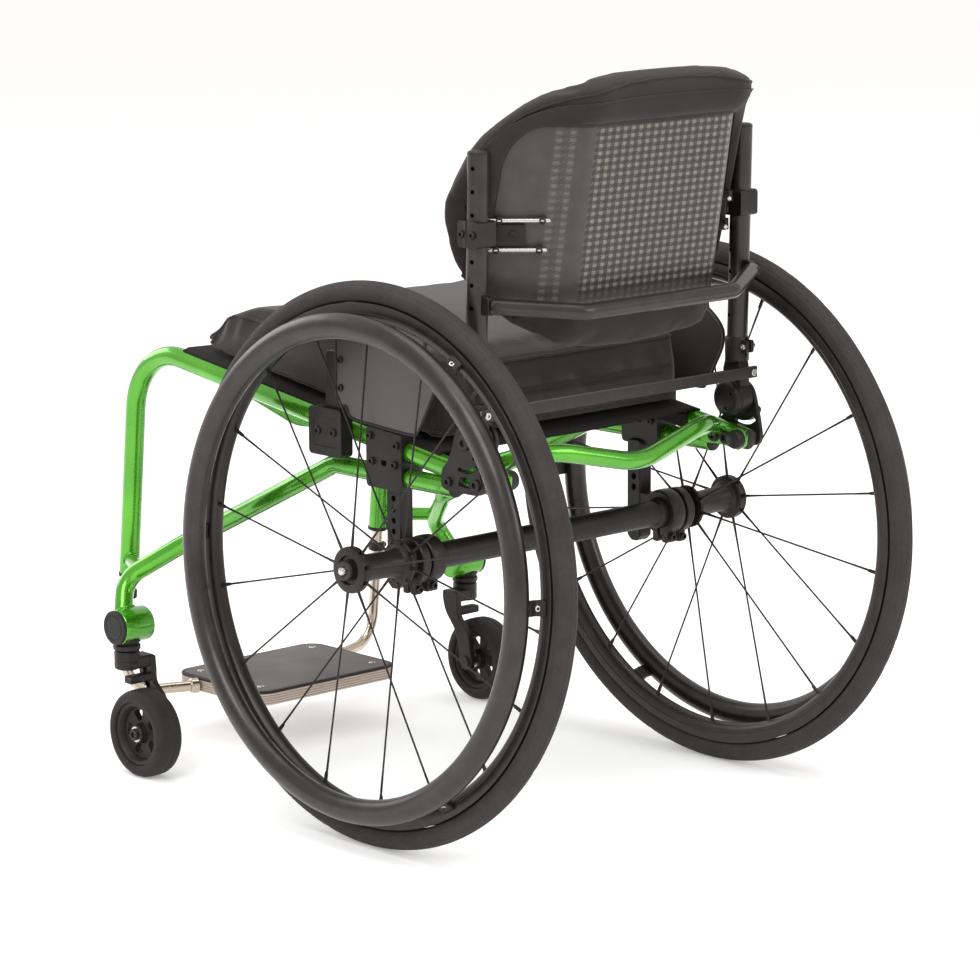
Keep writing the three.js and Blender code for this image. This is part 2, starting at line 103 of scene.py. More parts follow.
def bent(corners, bend, steps=12):
    """Straight runs through the corners, with each corner rounded to the bend radius."""
    path = [corners[0].copy()]
    for before, corner, after in zip(corners, corners[1:], corners[2:]):
        back, ahead = before - corner, after - corner
        half = back.angle(ahead) / 2
        reach = min(bend / tan(half), 0.48 * back.length, 0.48 * ahead.length)
        radius = reach * tan(half)
        start = corner + back.normalized() * reach
        middle = corner + (back.normalized() + ahead.normalized()).normalized() * radius / sin(half)
        spoke, turn = start - middle, pi - 2 * half
        axis = back.cross(ahead).normalized()
        path += [middle + Matrix.Rotation(-turn * i / steps, 3, axis) @ spoke for i in range(steps + 1)]
    path.append(corners[-1].copy())
    return path


def curve_through(points, steps=8, closed=False):
    """A smooth Catmull-Rom curve through the points."""
    count = len(points)
    spans = count if closed else count - 1
    result = []
    for i in range(spans):
        near = range(i - 1, i + 3)
        if closed:
            a, b, c, d = (points[k % count] for k in near)
        else:
            a, b, c, d = (points[min(max(k, 0), count - 1)] for k in near)
        for j in range(steps):
            t = j / steps
            result.append(0.5 * (2 * b + (c - a) * t + (2 * a - 5 * b + 4 * c - d) * t * t
                                 + (3 * b - 3 * c + d - a) * t ** 3))
    if not closed:
        result.append(points[-1].copy())
    return result


def skin(rings, around=True, along=False):
    """Faces between neighbouring rings of points; along joins the last ring to the first."""
    size = len(rings[0])
    points = [p for ring in rings for p in ring]
    faces = []
    for i in range(len(rings) if along else len(rings) - 1):
        j = (i + 1) % len(rings)
        for k in range(size if around else size - 1):
            m = (k + 1) % size
            faces.append((i * size + k, i * size + m, j * size + m, j * size + k))
    if not along:
        faces.append(tuple(reversed(range(size))))
        faces.append(tuple((len(rings) - 1) * size + k for k in range(size)))
    return points, faces


def frames_along(path, closed=False):
    """A tangent and two normals at each point, carried along without twist."""
    count = len(path)
    result, normal = [], None
    for i, point in enumerate(path):
        before = path[i - 1] if closed or i else path[0]
        after = path[(i + 1) % count] if closed or i < count - 1 else path[-1]
        tangent = (after - before).normalized()
        if normal is None:
            normal = tangent.orthogonal().normalized()
            if abs(tangent.x) < 0.9:
                normal = (vec(1, 0, 0) - tangent * tangent.x).normalized()
        normal = (normal - tangent * normal.dot(tangent)).normalized()
        result.append((point, normal, tangent.cross(normal)))
    return result


def circle(radius, sides):
    return [(radius * cos(2 * pi * k / sides), radius * sin(2 * pi * k / sides)) for k in range(sides)]


def sweep(path, section, closed=False, chamfer=0.0):
    """A section, a list of (across, up) pairs, carried along a path, with eased ends."""
    stations = frames_along(path, closed)
    rings = [[p + n * a + b * c for a, c in section] for p, n, b in stations]
    if chamfer and not closed:
        for end, inner in ((0, 1), (-1, -2)):
            middle, n, b = stations[end]
            toward = (path[inner] - path[end]).normalized() * chamfer
            size = max(hypot(a, c) for a, c in section)
            small = [middle + (n * a + b * c) * (1 - chamfer / size) for a, c in section]
            rings[end] = [p + toward for p in rings[end]]
            if end == 0:
                rings.insert(0, small)
            else:
                rings.append(small)
    return skin(rings, along=closed)


def tube(path, radius, sides=32, chamfer=0.8):
    return sweep(path, circle(radius, sides), chamfer=chamfer)


def rod(start, end, radius, sides):
    return tube([start, end], radius, sides, 0.4)


def lathe(profile, sides=64):
    """A profile of (axial, radius) turned about the X axis. It closes on itself or on the axis."""
    closed = profile[0] == profile[-1]
    outline = profile[:-1] if closed else profile
    rings = [[vec(a, r * cos(2 * pi * i / sides), r * sin(2 * pi * i / sides)) for a, r in outline]
             for i in range(sides)]
    return skin(rings, around=closed, along=True)


def mirrored(half, *middle):
    """Half a profile of (axial, radius), what lies in its middle, and the other half."""
    return half + list(middle) + [(-axial, radius) for axial, radius in reversed(half)]


def cylinder(low, high, radius, sides):
    return lathe([(low, 0), (low, radius), (high, radius), (high, 0)], sides)


def turned(form, matrix):
    points, faces = form
    return [matrix @ p for p in points], faces


def moved(form, x, y, z):
    return turned(form, Matrix.Translation((x, y, z)))


def ring_of(form, count, start=0.0):
    """Copies of a form about the X axis."""
    return joined(*[turned(form, Matrix.Rotation(radians(start) + 2 * pi * i / count, 4, "X"))
                    for i in range(count)])


def joined(*forms):
    points, faces = [], []
    for more_points, more_faces in forms:
        base = len(points)
        points += more_points
        faces += [tuple(base + i for i in face) for face in more_faces]
    return points, faces


def prism(outline, low, high, axis="x"):
    """An outline of pairs, in the two other axes in order, drawn out along one axis."""
    place = {"x": lambda a, b, c: vec(c, a, b), "y": lambda a, b, c: vec(a, c, b),
             "z": lambda a, b, c: vec(a, b, c)}[axis]
    return skin([[place(a, b, level) for a, b in outline] for level in (low, high)])


def rounded(outline, radius, steps=5):
    """An outline of pairs with its corners rounded."""
    flat = [vec(a, b, 0) for a, b in outline]
    result = []
    for i, corner in enumerate(flat):
        before, after = flat[i - 1], flat[(i + 1) % len(flat)]
        result += bent([corner.lerp(before, 0.5), corner, corner.lerp(after, 0.5)], radius, steps)[1:-1]
    return [(p.x, p.y) for p in result]


def block(x0, x1, y0, y1, z0, z1, radius=2.0):
    """A box with its edges along X rounded."""
    return prism(rounded([(y0, z0), (y1, z0), (y1, z1), (y0, z1)], radius), x0, x1)


def upright(form, x, y, z=0):
    """A form about the X axis, stood up along Z."""
    return moved(turned(form, Matrix.Rotation(-pi / 2, 4, "Y")), x, y, z)


def along(form, start, direction):
    """A form about the X axis, moved to a point and turned to a direction."""
    turn = OUTWARD.rotation_difference(direction.normalized()).to_matrix().to_4x4()
    return turned(form, Matrix.Translation(start) @ turn)


def bolt(start, direction, radius=4.0, head=3.4):
    """A cap screw's head standing on a surface, with a round recess for its key."""
    socket = radius * 0.52
    cup = lathe([(0, 0), (0, radius), (head - 0.5, radius), (head, radius - 0.5), (head, socket),
                 (head * 0.4, socket), (head * 0.4, 0)], 24)
    return along(cup, start, direction)


def washer(start, direction, radius=6.0, thick=1.0):
    flat = lathe([(-0.3, 0), (-0.3, radius), (thick - 0.3, radius), (thick, radius - 0.3), (thick, 0)], 28)
    return along(flat, start, direction)


def saddle_weld(end, direction, radius, other_point, other_direction, other_radius, bead=1.7):
    """A rippled weld bead where a tube's end meets the side of a wider tube."""
    direction, other = direction.normalized(), other_direction.normalized()
    first = direction.orthogonal().normalized()
    second = direction.cross(first)
    path = []
    count = 96
    for i in range(count):
        angle = 2 * pi * i / count
        reach = (radius + 0.35 * bead) * (1 + 0.02 * sin(24 * angle))
        start = end + (first * cos(angle) + second * sin(angle)) * reach
        offset = start - other_point
        across = offset - other * offset.dot(other)
        heading = direction - other * direction.dot(other)
        a, b = heading.length_squared, 2 * across.dot(heading)
        c = across.length_squared - (other_radius + 0.25 * bead) ** 2
        root = sqrt(max(b * b - 4 * a * c, 0))
        path.append(start + direction * ((-b - root) / (2 * a)))
    return sweep(path, circle(bead, 10), closed=True)


# ---- objects ---------------------------------------------------------------------------------
def make_object(name, form, side=LEFT, crease=32):
    points, faces = form
    mesh = bpy.data.meshes.new(name)
    placed = [(side * p.x * MM, p.y * MM + AXLE_Y, p.z * MM) for p in points]
    mesh.from_pydata(placed, [], faces)
    work = bmesh.new()
    work.from_mesh(mesh)
    bmesh.ops.remove_doubles(work, verts=work.verts, dist=2e-6)
    bmesh.ops.dissolve_degenerate(work, edges=work.edges, dist=1e-6)
    bmesh.ops.recalc_face_normals(work, faces=work.faces)
    work.to_mesh(mesh)
    work.free()
    smooth(mesh, crease)
    obj = bpy.data.objects.new(name, mesh)
    bpy.context.scene.collection.objects.link(obj)
    return obj


def smooth(mesh, crease):
    mesh.polygons.foreach_set("use_smooth", [True] * len(mesh.polygons))
    mesh.set_sharp_from_angle(angle=radians(crease))


def settle(obj):
    """Replaces an object's mesh with the result of its modifiers."""
    graph = bpy.context.evaluated_depsgraph_get()
    result = bpy.data.meshes.new_from_object(obj.evaluated_get(graph))
    obj.modifiers.clear()
    obj.data = result


def carve(obj, cutter, side=LEFT, crease=32):
    """Cuts a form out of an object."""
    tool = make_object("cutter", cutter, side)
    cut = obj.modifiers.new("cut", "BOOLEAN")
    cut.object = tool
    cut.solver = "EXACT"
    settle(obj)
    smooth(obj.data, crease)
    bpy.data.objects.remove(tool)


def ease(obj, width):
    """Rounds the sharp edges of an object."""
    bevel = obj.modifiers.new("ease", "BEVEL")
    bevel.width = width * MM
    bevel.segments = 3
    bevel.limit_method = "ANGLE"
    bevel.angle_limit = radians(38)
    bevel.harden_normals = True


def build(name, form, look, body, nodes=(), side=LEFT, cut=None, edge=0.0, crease=32):
    """Makes a piece in its look, cut and eased, riding on a body and standing for CAD nodes."""
    obj = make_object(name, form, side, crease)
    if cut:
        carve(obj, cut, side, crease)
    if edge:
        ease(obj, edge)
    return dress(obj, look, body, nodes)


def one_side(name, sign):
    """A build() for the left or right pieces: a star in a text stands for the side's name."""
    def put(title, form, look, body="frame", node="", **finish):
        nodes = [node.replace("*", name)] if node else ()
        return build(title.replace("*", name), form, look, body.replace("*", name), nodes, sign, **finish)
    return put


def dress(obj, look, body, nodes=()):
    obj.data.materials.clear()
    obj.data.materials.append(look.material)
    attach(obj, body)
    if nodes:
        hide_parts(*nodes)
    return obj


# ---- materials -------------------------------------------------------------------------------
def linear(red, green, blue):
    """An 8-bit sRGB colour as linear light."""
    def channel(value):
        value /= 255
        return value / 12.92 if value <= 0.04045 else ((value + 0.055) / 1.055) ** 2.4
    return (channel(red), channel(green), channel(blue), 1.0)


class Look:
    """A procedural material on the object's own coordinates, in millimetres."""

    def __init__(self, name, slot, **sockets):
        self.material = bpy.data.materials.new(name)
        self.material.use_nodes = True
        self.tree = self.material.node_tree
        self.shader = self.tree.nodes["Principled BSDF"]
        self.slot = slot
        for socket, value in sockets.items():
            self.shader.inputs[socket.replace("_", " ")].default_value = value
        metres = self.add("ShaderNodeTexCoord")
        scale = self.add("ShaderNodeMapping", Scale=(1000, 1000, 1000))
        self.link(metres.outputs["Object"], scale.inputs["Vector"])
        self.place = scale.outputs["Vector"]

    def add(self, kind, **inputs):
        node = self.tree.nodes.new(kind)
        for name, value in inputs.items():
            node.inputs[name].default_value = value
        return node

    def link(self, output, socket):
        self.tree.links.new(output, socket)

    def stretched(self, x, y, z):
        mapping = self.add("ShaderNodeMapping", Scale=(x, y, z))
        self.link(self.place, mapping.inputs["Vector"])
        return mapping.outputs["Vector"]

    def noise(self, scale, detail=3.0, roughness=0.5, where=None):
        node = self.add("ShaderNodeTexNoise", Scale=scale, Detail=detail, Roughness=roughness)
        self.link(where or self.place, node.inputs["Vector"])
        return node.outputs["Fac"]

    def cells(self, scale):
        node = self.add("ShaderNodeTexVoronoi", Scale=scale)
        self.link(self.place, node.inputs["Vector"])
        return node.outputs["Distance"]

    def axes(self):
        node = self.add("ShaderNodeSeparateXYZ")
        self.link(self.place, node.inputs["Vector"])
        return node.outputs

    def maths(self, operation, first, second=None, third=None):
        node = self.add("ShaderNodeMath")
        node.operation = operation
        for socket, value in zip(node.inputs, (first, second, third)):
            if isinstance(value, (int, float)):
                socket.default_value = value
            elif value is not None:
                self.link(value, socket)
        return node.outputs["Value"]

    def times(self, first, second):
        return self.maths("MULTIPLY", first, second)

    def plus(self, first, second):
        return self.maths("ADD", first, second)

    def minus(self, first, second):
        return self.maths("SUBTRACT", first, second)

    def wave(self, value, pitch):
        """A sine from 0 to 1 that repeats every pitch millimetres of a coordinate."""
        turn = self.times(value, 2 * pi / pitch)
        return self.maths("MULTIPLY_ADD", self.maths("SINE", turn), 0.5, 0.5)

    def spread(self, value, low, high, start=0.0, end=1.0):
        node = self.add("ShaderNodeMapRange")
        for name, number in (("From Min", start), ("From Max", end), ("To Min", low), ("To Max", high)):
            node.inputs[name].default_value = number
        self.link(value, node.inputs["Value"])
        return node.outputs["Result"]

    def colours(self, value, *stops):
        node = self.add("ShaderNodeValToRGB")
        elements = node.color_ramp.elements
        while len(elements) < len(stops):
            elements.new(0.5)
        for element, (position, colour) in zip(elements, stops):
            element.position = position
            element.color = colour
        self.link(value, node.inputs["Fac"])
        return node.outputs["Color"]

    def shades(self, value, low, high, start=0.3, end=0.7):
        """Two sRGB colours, blended as a value goes from start to end."""
        return self.colours(value, (start, linear(*low)), (end, linear(*high)))

    def mixed(self, factor, first, second):
        node = self.add("ShaderNodeMix")
        node.data_type = "RGBA"
        factor_socket, a, b = node.inputs["Factor"], node.inputs[6], node.inputs[7]
        self.link(factor, factor_socket)
        for socket, value in ((a, first), (b, second)):
            if isinstance(value, tuple):
                socket.default_value = value
            else:
                self.link(value, socket)
        return node.outputs[2]

    def edges(self, low, high):
        """0 on open faces, 1 on worn outer edges."""
        geometry = self.add("ShaderNodeNewGeometry")
        return self.spread(geometry.outputs["Pointiness"], 0, 1, low, high)

    def relief(self, *layers):
        """Bump from (height, distance in mm) layers."""
        normal = None
        for height, distance in layers:
            node = self.add("ShaderNodeBump", Strength=1.0, Distance=distance * MM)
            self.link(height, node.inputs["Height"])
            if normal:
                self.link(normal, node.inputs["Normal"])
            normal = node.outputs["Normal"]
        self.link(normal, self.shader.inputs["Normal"])

    def colour(self, output):
        self.link(output, self.shader.inputs["Base Color"])

    def roughness(self, output):
        self.link(output, self.shader.inputs["Roughness"])


def candy_green():
    look = Look("candy_green", "frame_green", Metallic=0.7, Coat_Weight=0.7, Coat_Roughness=0.05)
    flake = look.cells(2.6)
    cloud = look.noise(0.02, 2)
    tint = look.shades(cloud, (52, 138, 14), (78, 162, 24))
    look.colour(look.mixed(look.spread(flake, 0, 0.22, 0.1, 0.6), tint, linear(112, 194, 44)))
    look.roughness(look.spread(look.noise(0.35, 4), 0.2, 0.3, 0.3, 0.7))
    look.relief((look.noise(0.05, 2), 0.05), (flake, 0.0015))
    return look


def black_paint():
    look = Look("black_paint", "black_hardware", Coat_Weight=0.06, Coat_Roughness=0.2,
                Specular_IOR_Level=0.28)
    cloud = look.noise(0.06, 4)
    tone = look.shades(cloud, (22, 18, 17), (31, 26, 25))
    look.colour(look.mixed(look.edges(0.57, 0.7), tone, linear(62, 55, 52)))
    look.roughness(look.spread(look.noise(0.5, 5), 0.36, 0.52, 0.3, 0.7))
    look.relief((look.noise(2.2, 3), 0.035))
    return look


def anodised():
    look = Look("dark_anodised", "anodised_dark", Metallic=0.7, Anisotropic=0.35)
    streak = look.noise(0.5, 5, 0.7, look.stretched(1, 0.12, 0.12))
    tone = look.shades(streak, (48, 44, 43), (64, 59, 57), 0.25, 0.75)
    look.colour(look.mixed(look.edges(0.57, 0.7), tone, linear(118, 111, 106)))
    look.roughness(look.spread(streak, 0.3, 0.44, 0.2, 0.8))
    look.relief((streak, 0.012), (look.noise(1.8, 2), 0.01))
    return look


def handrim_coat():
    look = Look("handrim_coat", "anodised_dark", Metallic=0.55, Coat_Weight=0.25, Coat_Roughness=0.2)
    cloud = look.noise(0.05, 4)
    tone = look.shades(cloud, (38, 34, 33), (50, 45, 43))
    scuff = look.spread(look.noise(0.9, 6, 0.75, look.stretched(1, 0.15, 0.15)), 0, 0.5, 0.58, 0.8)
    look.colour(look.mixed(scuff, tone, linear(84, 79, 76)))
    look.roughness(look.spread(look.noise(0.4, 4), 0.28, 0.44, 0.3, 0.7))
    look.relief((look.noise(1.4, 3), 0.02))
    return look


def bare_silver():
    look = Look("bare_silver", "silver_hardware", Metallic=1.0, Anisotropic=0.4)
    streak = look.noise(1.2, 5, 0.7, look.stretched(0.2, 1, 1))
    look.colour(look.shades(streak, (178, 174, 168), (214, 211, 206), 0.2, 0.8))
    look.roughness(look.spread(streak, 0.18, 0.34, 0.2, 0.8))
    look.relief((streak, 0.01))
    return look


def polished_titanium():
    look = Look("polished_titanium", "titanium", Metallic=1.0)
    streak = look.noise(0.8, 5, 0.65, look.stretched(1, 1, 0.1))
    look.colour(look.shades(streak, (178, 163, 148), (212, 199, 184), 0.2, 0.8))
    look.roughness(look.spread(streak, 0.14, 0.3, 0.2, 0.8))
    look.relief((streak, 0.01), (look.noise(0.05, 2), 0.05))
    return look


def shell_edging():
    look = Look("shell_edging", "woven_shell", Roughness=0.5, Specular_IOR_Level=0.4)
    cloud = look.noise(0.3, 4)
    look.colour(look.shades(cloud, (52, 46, 43), (66, 59, 55)))
    look.relief((look.noise(0.8, 4), 0.08))
    return look


def rubber(name, low, high, grain):
    look = Look(name, name, Specular_IOR_Level=0.35)
    dust = look.noise(0.03, 5, 0.7)
    look.colour(look.shades(dust, low, high, 0.3, 0.75))
    look.roughness(look.spread(look.noise(0.6, 4), 0.62, 0.82, 0.3, 0.7))
    look.relief((look.noise(grain, 4, 0.6), 0.06))
    return look


def nylon():
    look = Look("moulded_nylon", "black_nylon", Specular_IOR_Level=0.3)
    cloud = look.noise(0.2, 4)
    look.colour(look.shades(cloud, (26, 23, 22), (35, 31, 29)))
    look.roughness(look.spread(look.noise(1.0, 3), 0.42, 0.58, 0.3, 0.7))
    look.relief((look.cells(3.2), 0.03))
    return look


def guard_twill():
    look = Look("guard_twill", "guard_panel", Coat_Weight=0.35, Coat_Roughness=0.25, Roughness=0.42)
    _, y, z = look.axes()
    lean = look.plus(y, z)
    cross = look.minus(y, z)
    twill = look.times(look.wave(lean, 3.2), look.wave(cross, 6.4))
    look.colour(look.shades(twill, (50, 46, 44), (62, 57, 55), 0.1, 0.9))
    look.relief((twill, 0.03), (look.noise(0.05, 2), 0.2))
    return look


def upholstery(name, slot, low, high, pitch, depth, sheen):
    """Woven cloth: two crossed sets of yarns, with lint and slow shade changes."""
    look = Look(name, slot, Roughness=0.88, Sheen_Weight=sheen, Sheen_Roughness=0.5,
                Specular_IOR_Level=0.2)
    x, y, z = look.axes()
    across = look.plus(x, look.times(y, 0.35))
    upward = look.plus(z, look.times(y, 0.9))
    weave = look.times(look.wave(across, pitch), look.wave(upward, pitch))
    shade = look.noise(0.012, 4, 0.6)
    base = look.shades(shade, low, high)
    lint = look.spread(look.noise(1.7, 2, 0.9), 0, 0.25, 0.66, 0.8)
    pale = tuple(min(1.0, 2.1 * value) for value in linear(*high)[:3]) + (1.0,)
    look.colour(look.mixed(lint, look.mixed(look.spread(weave, 0, 0.3), base, pale), pale))
    look.relief((look.noise(0.03, 3), 0.5), (weave, depth))
    return look


def webbing():
    look = Look("strap_webbing", "seat_fabric", Roughness=0.8, Sheen_Weight=0.06, Specular_IOR_Level=0.2)
    x, y, _ = look.axes()
    rib = look.wave(look.plus(x, y), 1.6)
    look.colour(look.shades(rib, (24, 20, 19), (42, 37, 35), 0.1, 0.9))
    look.relief((rib, 0.12), (look.noise(0.8, 3), 0.05))
    return look


def woven_shell():
    """A shell with a pale and dark houndstooth panel, plain wings and one dotted strip; its pale squares
    carry painted shade towards the shell's lower edge.
    """
    look = Look("woven_shell", "woven_shell", Roughness=0.45, Coat_Weight=0.2, Coat_Roughness=0.22,
                Specular_IOR_Level=0.4)
    across, up = 11.2, 7.9
    x, _, z = look.axes()
    u = look.maths("FRACT", look.maths("DIVIDE", look.plus(x, 1000.5), across))
    v = look.maths("FRACT", look.maths("DIVIDE", z, up))
    right = look.spread(u, 0, 1, 0.46, 0.6)
    high = look.spread(v, 0, 1, 0.46, 0.6)
    both = look.times(right, high)
    neither = look.times(look.minus(1, right), look.minus(1, high))
    tooth = look.wave(look.plus(look.times(u, 10), look.times(v, 10)), 5)
    mixed = look.minus(look.minus(1, both), neither)
    pale = look.plus(both, look.times(mixed, look.spread(tooth, 0, 0.4, 0.35, 0.65)))
    panel = look.times(look.spread(x, 1, 0, 90, 93), look.spread(x, 0, 1, -119, -117))
    strip = look.times(look.spread(x, 0, 1, 114, 116), look.spread(x, 1, 0, 129, 133))
    dots = look.times(strip, look.times(pale, 0.4))
    seam = look.times(look.spread(x, 0, 1, -124, -123), look.spread(x, 1, 0, -119, -118))
    tow_width = 1.4
    tow = look.times(look.wave(x, tow_width), look.wave(z, tow_width))
    cloud = look.noise(0.05, 4)
    plain = look.shades(cloud, (46, 40, 38), (59, 52, 50))
    dark = look.shades(tow, (24, 18, 16), (36, 29, 26), 0.1, 0.9)
    light = look.shades(look.noise(0.25, 4), (102, 90, 80), (130, 117, 104))
    # painted shade: the pale squares turn dark below z 590, along the shell's foot by the rigidizer bar
    foot = look.spread(z, 0.25, 1, 584, 590)
    shade = look.mixed(foot, dark, light)
    woven = look.mixed(pale, dark, shade)
    edge = look.mixed(seam, look.mixed(dots, plain, light), linear(204, 194, 180))
    look.colour(look.mixed(panel, edge, woven))
    look.relief((look.times(pale, panel), 0.16), (tow, 0.05))
    return look


def layered_board():
    look = Look("layered_board", "layered_board", Roughness=0.6)
    _, _, z = look.axes()
    wobble = look.times(look.noise(0.05, 3), 1.2)
    layer = look.wave(look.plus(z, wobble), 2.8)
    grain = look.noise(0.6, 6, 0.7, look.stretched(0.08, 0.08, 1))
    base = look.shades(layer, (150, 136, 124), (206, 194, 182), 0.2, 0.8)
    look.colour(look.mixed(look.spread(grain, 0, 0.6, 0.3, 0.75), base, linear(168, 150, 138)))
    look.relief((layer, 0.08), (grain, 0.05))
    return look


def grip_mat():
    look = Look("grip_mat", "grip_mat", Roughness=0.9, Specular_IOR_Level=0.25)
    grit = look.cells(1.1)
    speck = look.noise(1.6, 2, 0.8)
    base = look.shades(look.noise(0.02, 4), (102, 96, 96), (117, 110, 110))
    look.colour(look.mixed(look.spread(speck, 0, 0.5, 0.5, 0.7), base, linear(140, 135, 134)))
    look.relief((grit, 0.25))
    return look


GREEN, BLACK, ANODISED, COATED = candy_green(), black_paint(), anodised(), handrim_coat()
SILVER, TITANIUM, NYLON, TWILL = bare_silver(), polished_titanium(), nylon(), guard_twill()
TYRE = rubber("tyre_rubber", (38, 34, 34), (52, 47, 46), 1.3)
CASTER_RUBBER = rubber("caster_rubber", (28, 24, 24), (40, 35, 34), 0.9)
CUSHION = upholstery("cushion_cloth", "seat_fabric", (31, 25, 24), (42, 35, 34), 1.5, 0.12, 0.25)
SLING = upholstery("sling_cloth", "seat_fabric", (19, 15, 14), (27, 22, 21), 2.2, 0.16, 0.03)
PAD = upholstery("pad_knit", "pad_fabric", (33, 28, 28), (43, 37, 37), 1.1, 0.08, 0.12)
WEBBING, WEAVE, BOARD, GRIT = webbing(), woven_shell(), layered_board(), grip_mat()
EDGING = shell_edging()


# ---- rear wheels -----------------------------------------------------------------------------
CORNER = Matrix.Translation((TRACK, 0, HUB_Z)) @ Matrix.Rotation(-CAMBER, 4, "Y")


def tyre():
    """A narrow road tyre: two grooves, cross cuts on the shoulders, and a ribbed line on each side."""
    sides, middle, half = 360, WHEEL_RADIUS - TYRE_HALF, TYRE_HALF
    section = []
    for i in range(41):
        angle = radians(-128 + 256 * i / 40)
        section.append((half * sin(angle), middle + half * cos(angle), abs(angle)))
    rings = []
    for k in range(sides):
        turn = 2 * pi * k / sides
        ring = []
        for axial, radius, lean in section:
            if radians(10) < lean < radians(14):
                radius -= 0.7
            if radians(20) < lean < radians(44) and k % 6 == 0:
                radius -= 0.8
            if radians(50) < lean < radians(56):
                axial *= 1 - 0.3 / half
                radius -= 0.5 + 0.25 * (k % 3 == 0)
            ring.append(vec(axial, radius * cos(turn), radius * sin(turn)))
        for axial in (7.6, -7.6):
            ring.append(vec(axial, (RIM_OUTER + 0.5) * cos(turn), (RIM_OUTER + 0.5) * sin(turn)))
        rings.append(ring)
    return skin(rings, along=True)


def rim():
    """A double-wall rim with a stepped sidewall and a crowned spoke bed."""
    return lathe(mirrored([
        (0, 256.6), (4.5, 257.2), (8, 259.8), (10, 263), (10.6, 266.5), (10.2, 267), (10.2, 268),
        (10.8, 268.6), (11, 276.8), (10.6, 277.5)]), 240)


def flange_at(outer):
    """How far along the axle the outer or the inner flange's spoke heads are."""
    return HUB_OUTER - 6 if outer else HUB_INNER + 5


def spoke(outer):
    """One straight-pull spoke, swaged thinner in the middle, from a flange to its nipple."""
    near = vec(flange_at(outer), 17, 0)
    far = vec(0, RIM_INNER - 3, 0)
    path = [near.lerp(far, t) for t in (0, 0.06, 0.12, 0.2, 0.84, 0.9, 1)]
    widths = (1.7, 1.6, 1.25, 1.05, 1.05, 1.25, 1.3)
    rings = []
    for (point, n, b), width in zip(frames_along(path), widths):
        rings.append([point + n * a + b * c for a, c in circle(width, 10)])
    return skin(rings)


def nipple(outer):
    """The round nipple at the rim, leaning along its spoke."""
    near = vec(flange_at(outer), 17, 0)
    far = vec(0, RIM_INNER + 1, 0)
    lean = (near - far).normalized()
    body = lathe([(-1, 0), (-1, 2.6), (2.2, 2.6), (3, 2.1), (11, 2.0), (13.5, 1.5), (13.5, 0)], 12)
    return along(body, far, lean)


def hub_shell():
    """The hub: a waisted barrel between two flanges, a recessed outer cap and an inner collar."""
    inner, outer = HUB_INNER, HUB_OUTER
    return lathe([
        (inner, 7.2), (inner, 12.5), (inner + 0.8, 13.4), (inner + 2.2, 13.6), (inner + 2.6, 21),
        (inner + 3.2, 23.4), (inner + 4.2, 24), (inner + 6.4, 24), (inner + 7.4, 23.2), (inner + 8, 20),
        (inner + 11, 16.2), (inner + 16, 14.8), (inner + 30, 14.2), (outer - 26, 14.4), (outer - 16, 15.6),
        (outer - 12, 19), (outer - 11, 23.2), (outer - 10, 24.4), (outer - 5, 24.8), (outer - 4.6, 24.2),
        (outer - 4, 24.2), (outer - 3.6, 24.8), (outer - 1, 24.2), (outer, 22.4), (outer, 16.4),
        (outer - 0.6, 15.6), (outer - 3.2, 15.2), (outer - 3.2, 11.6), (outer - 0.4, 11.2),
        (outer - 0.4, 7.2), (inner, 7.2)], 72)


def spoke_pocket(outer):
    """The slot in a flange that a spoke's head drops into."""
    return moved(block(-3.4, 3.4, -2.1, 2.1, -5, 5, 1.9), flange_at(outer), 0, 25.6)


def handrim():
    """The push ring: a soft oval section, a little flatter on its rim side."""
    section = []
    for i in range(40):
        angle = 2 * pi * i / 40
        bulge = 1 if sin(angle) > 0 else 0.92
        section.append((HANDRIM["offset"] + bulge * HANDRIM["axial"] * sin(angle),
                        HANDRIM["radius"] + HANDRIM["radial"] * cos(angle)))
    return lathe(section + section[:1], 256)


def handrim_tab():
    """A pressed bracket from the rim's side to the push ring, standing at +Z."""
    foot, top = 11.3, HANDRIM["offset"] - 6
    outline = rounded([(foot, 262), (foot + 3, 262), (foot + 6, 260), (top, 259), (top, 263.5),
                       (foot + 8, 264.5), (foot + 3, 270), (foot, 272)], 1.6)
    return prism(outline, -8, 8, "y")


def laced(make, start):
    """Something made for both flanges, half of it on each, with the inner half turned between."""
    outer = ring_of(make(True), SPOKES // 2, start)
    inner = ring_of(make(False), SPOKES // 2, start + 360 / SPOKES)
    return turned(joined(outer, inner), CORNER)


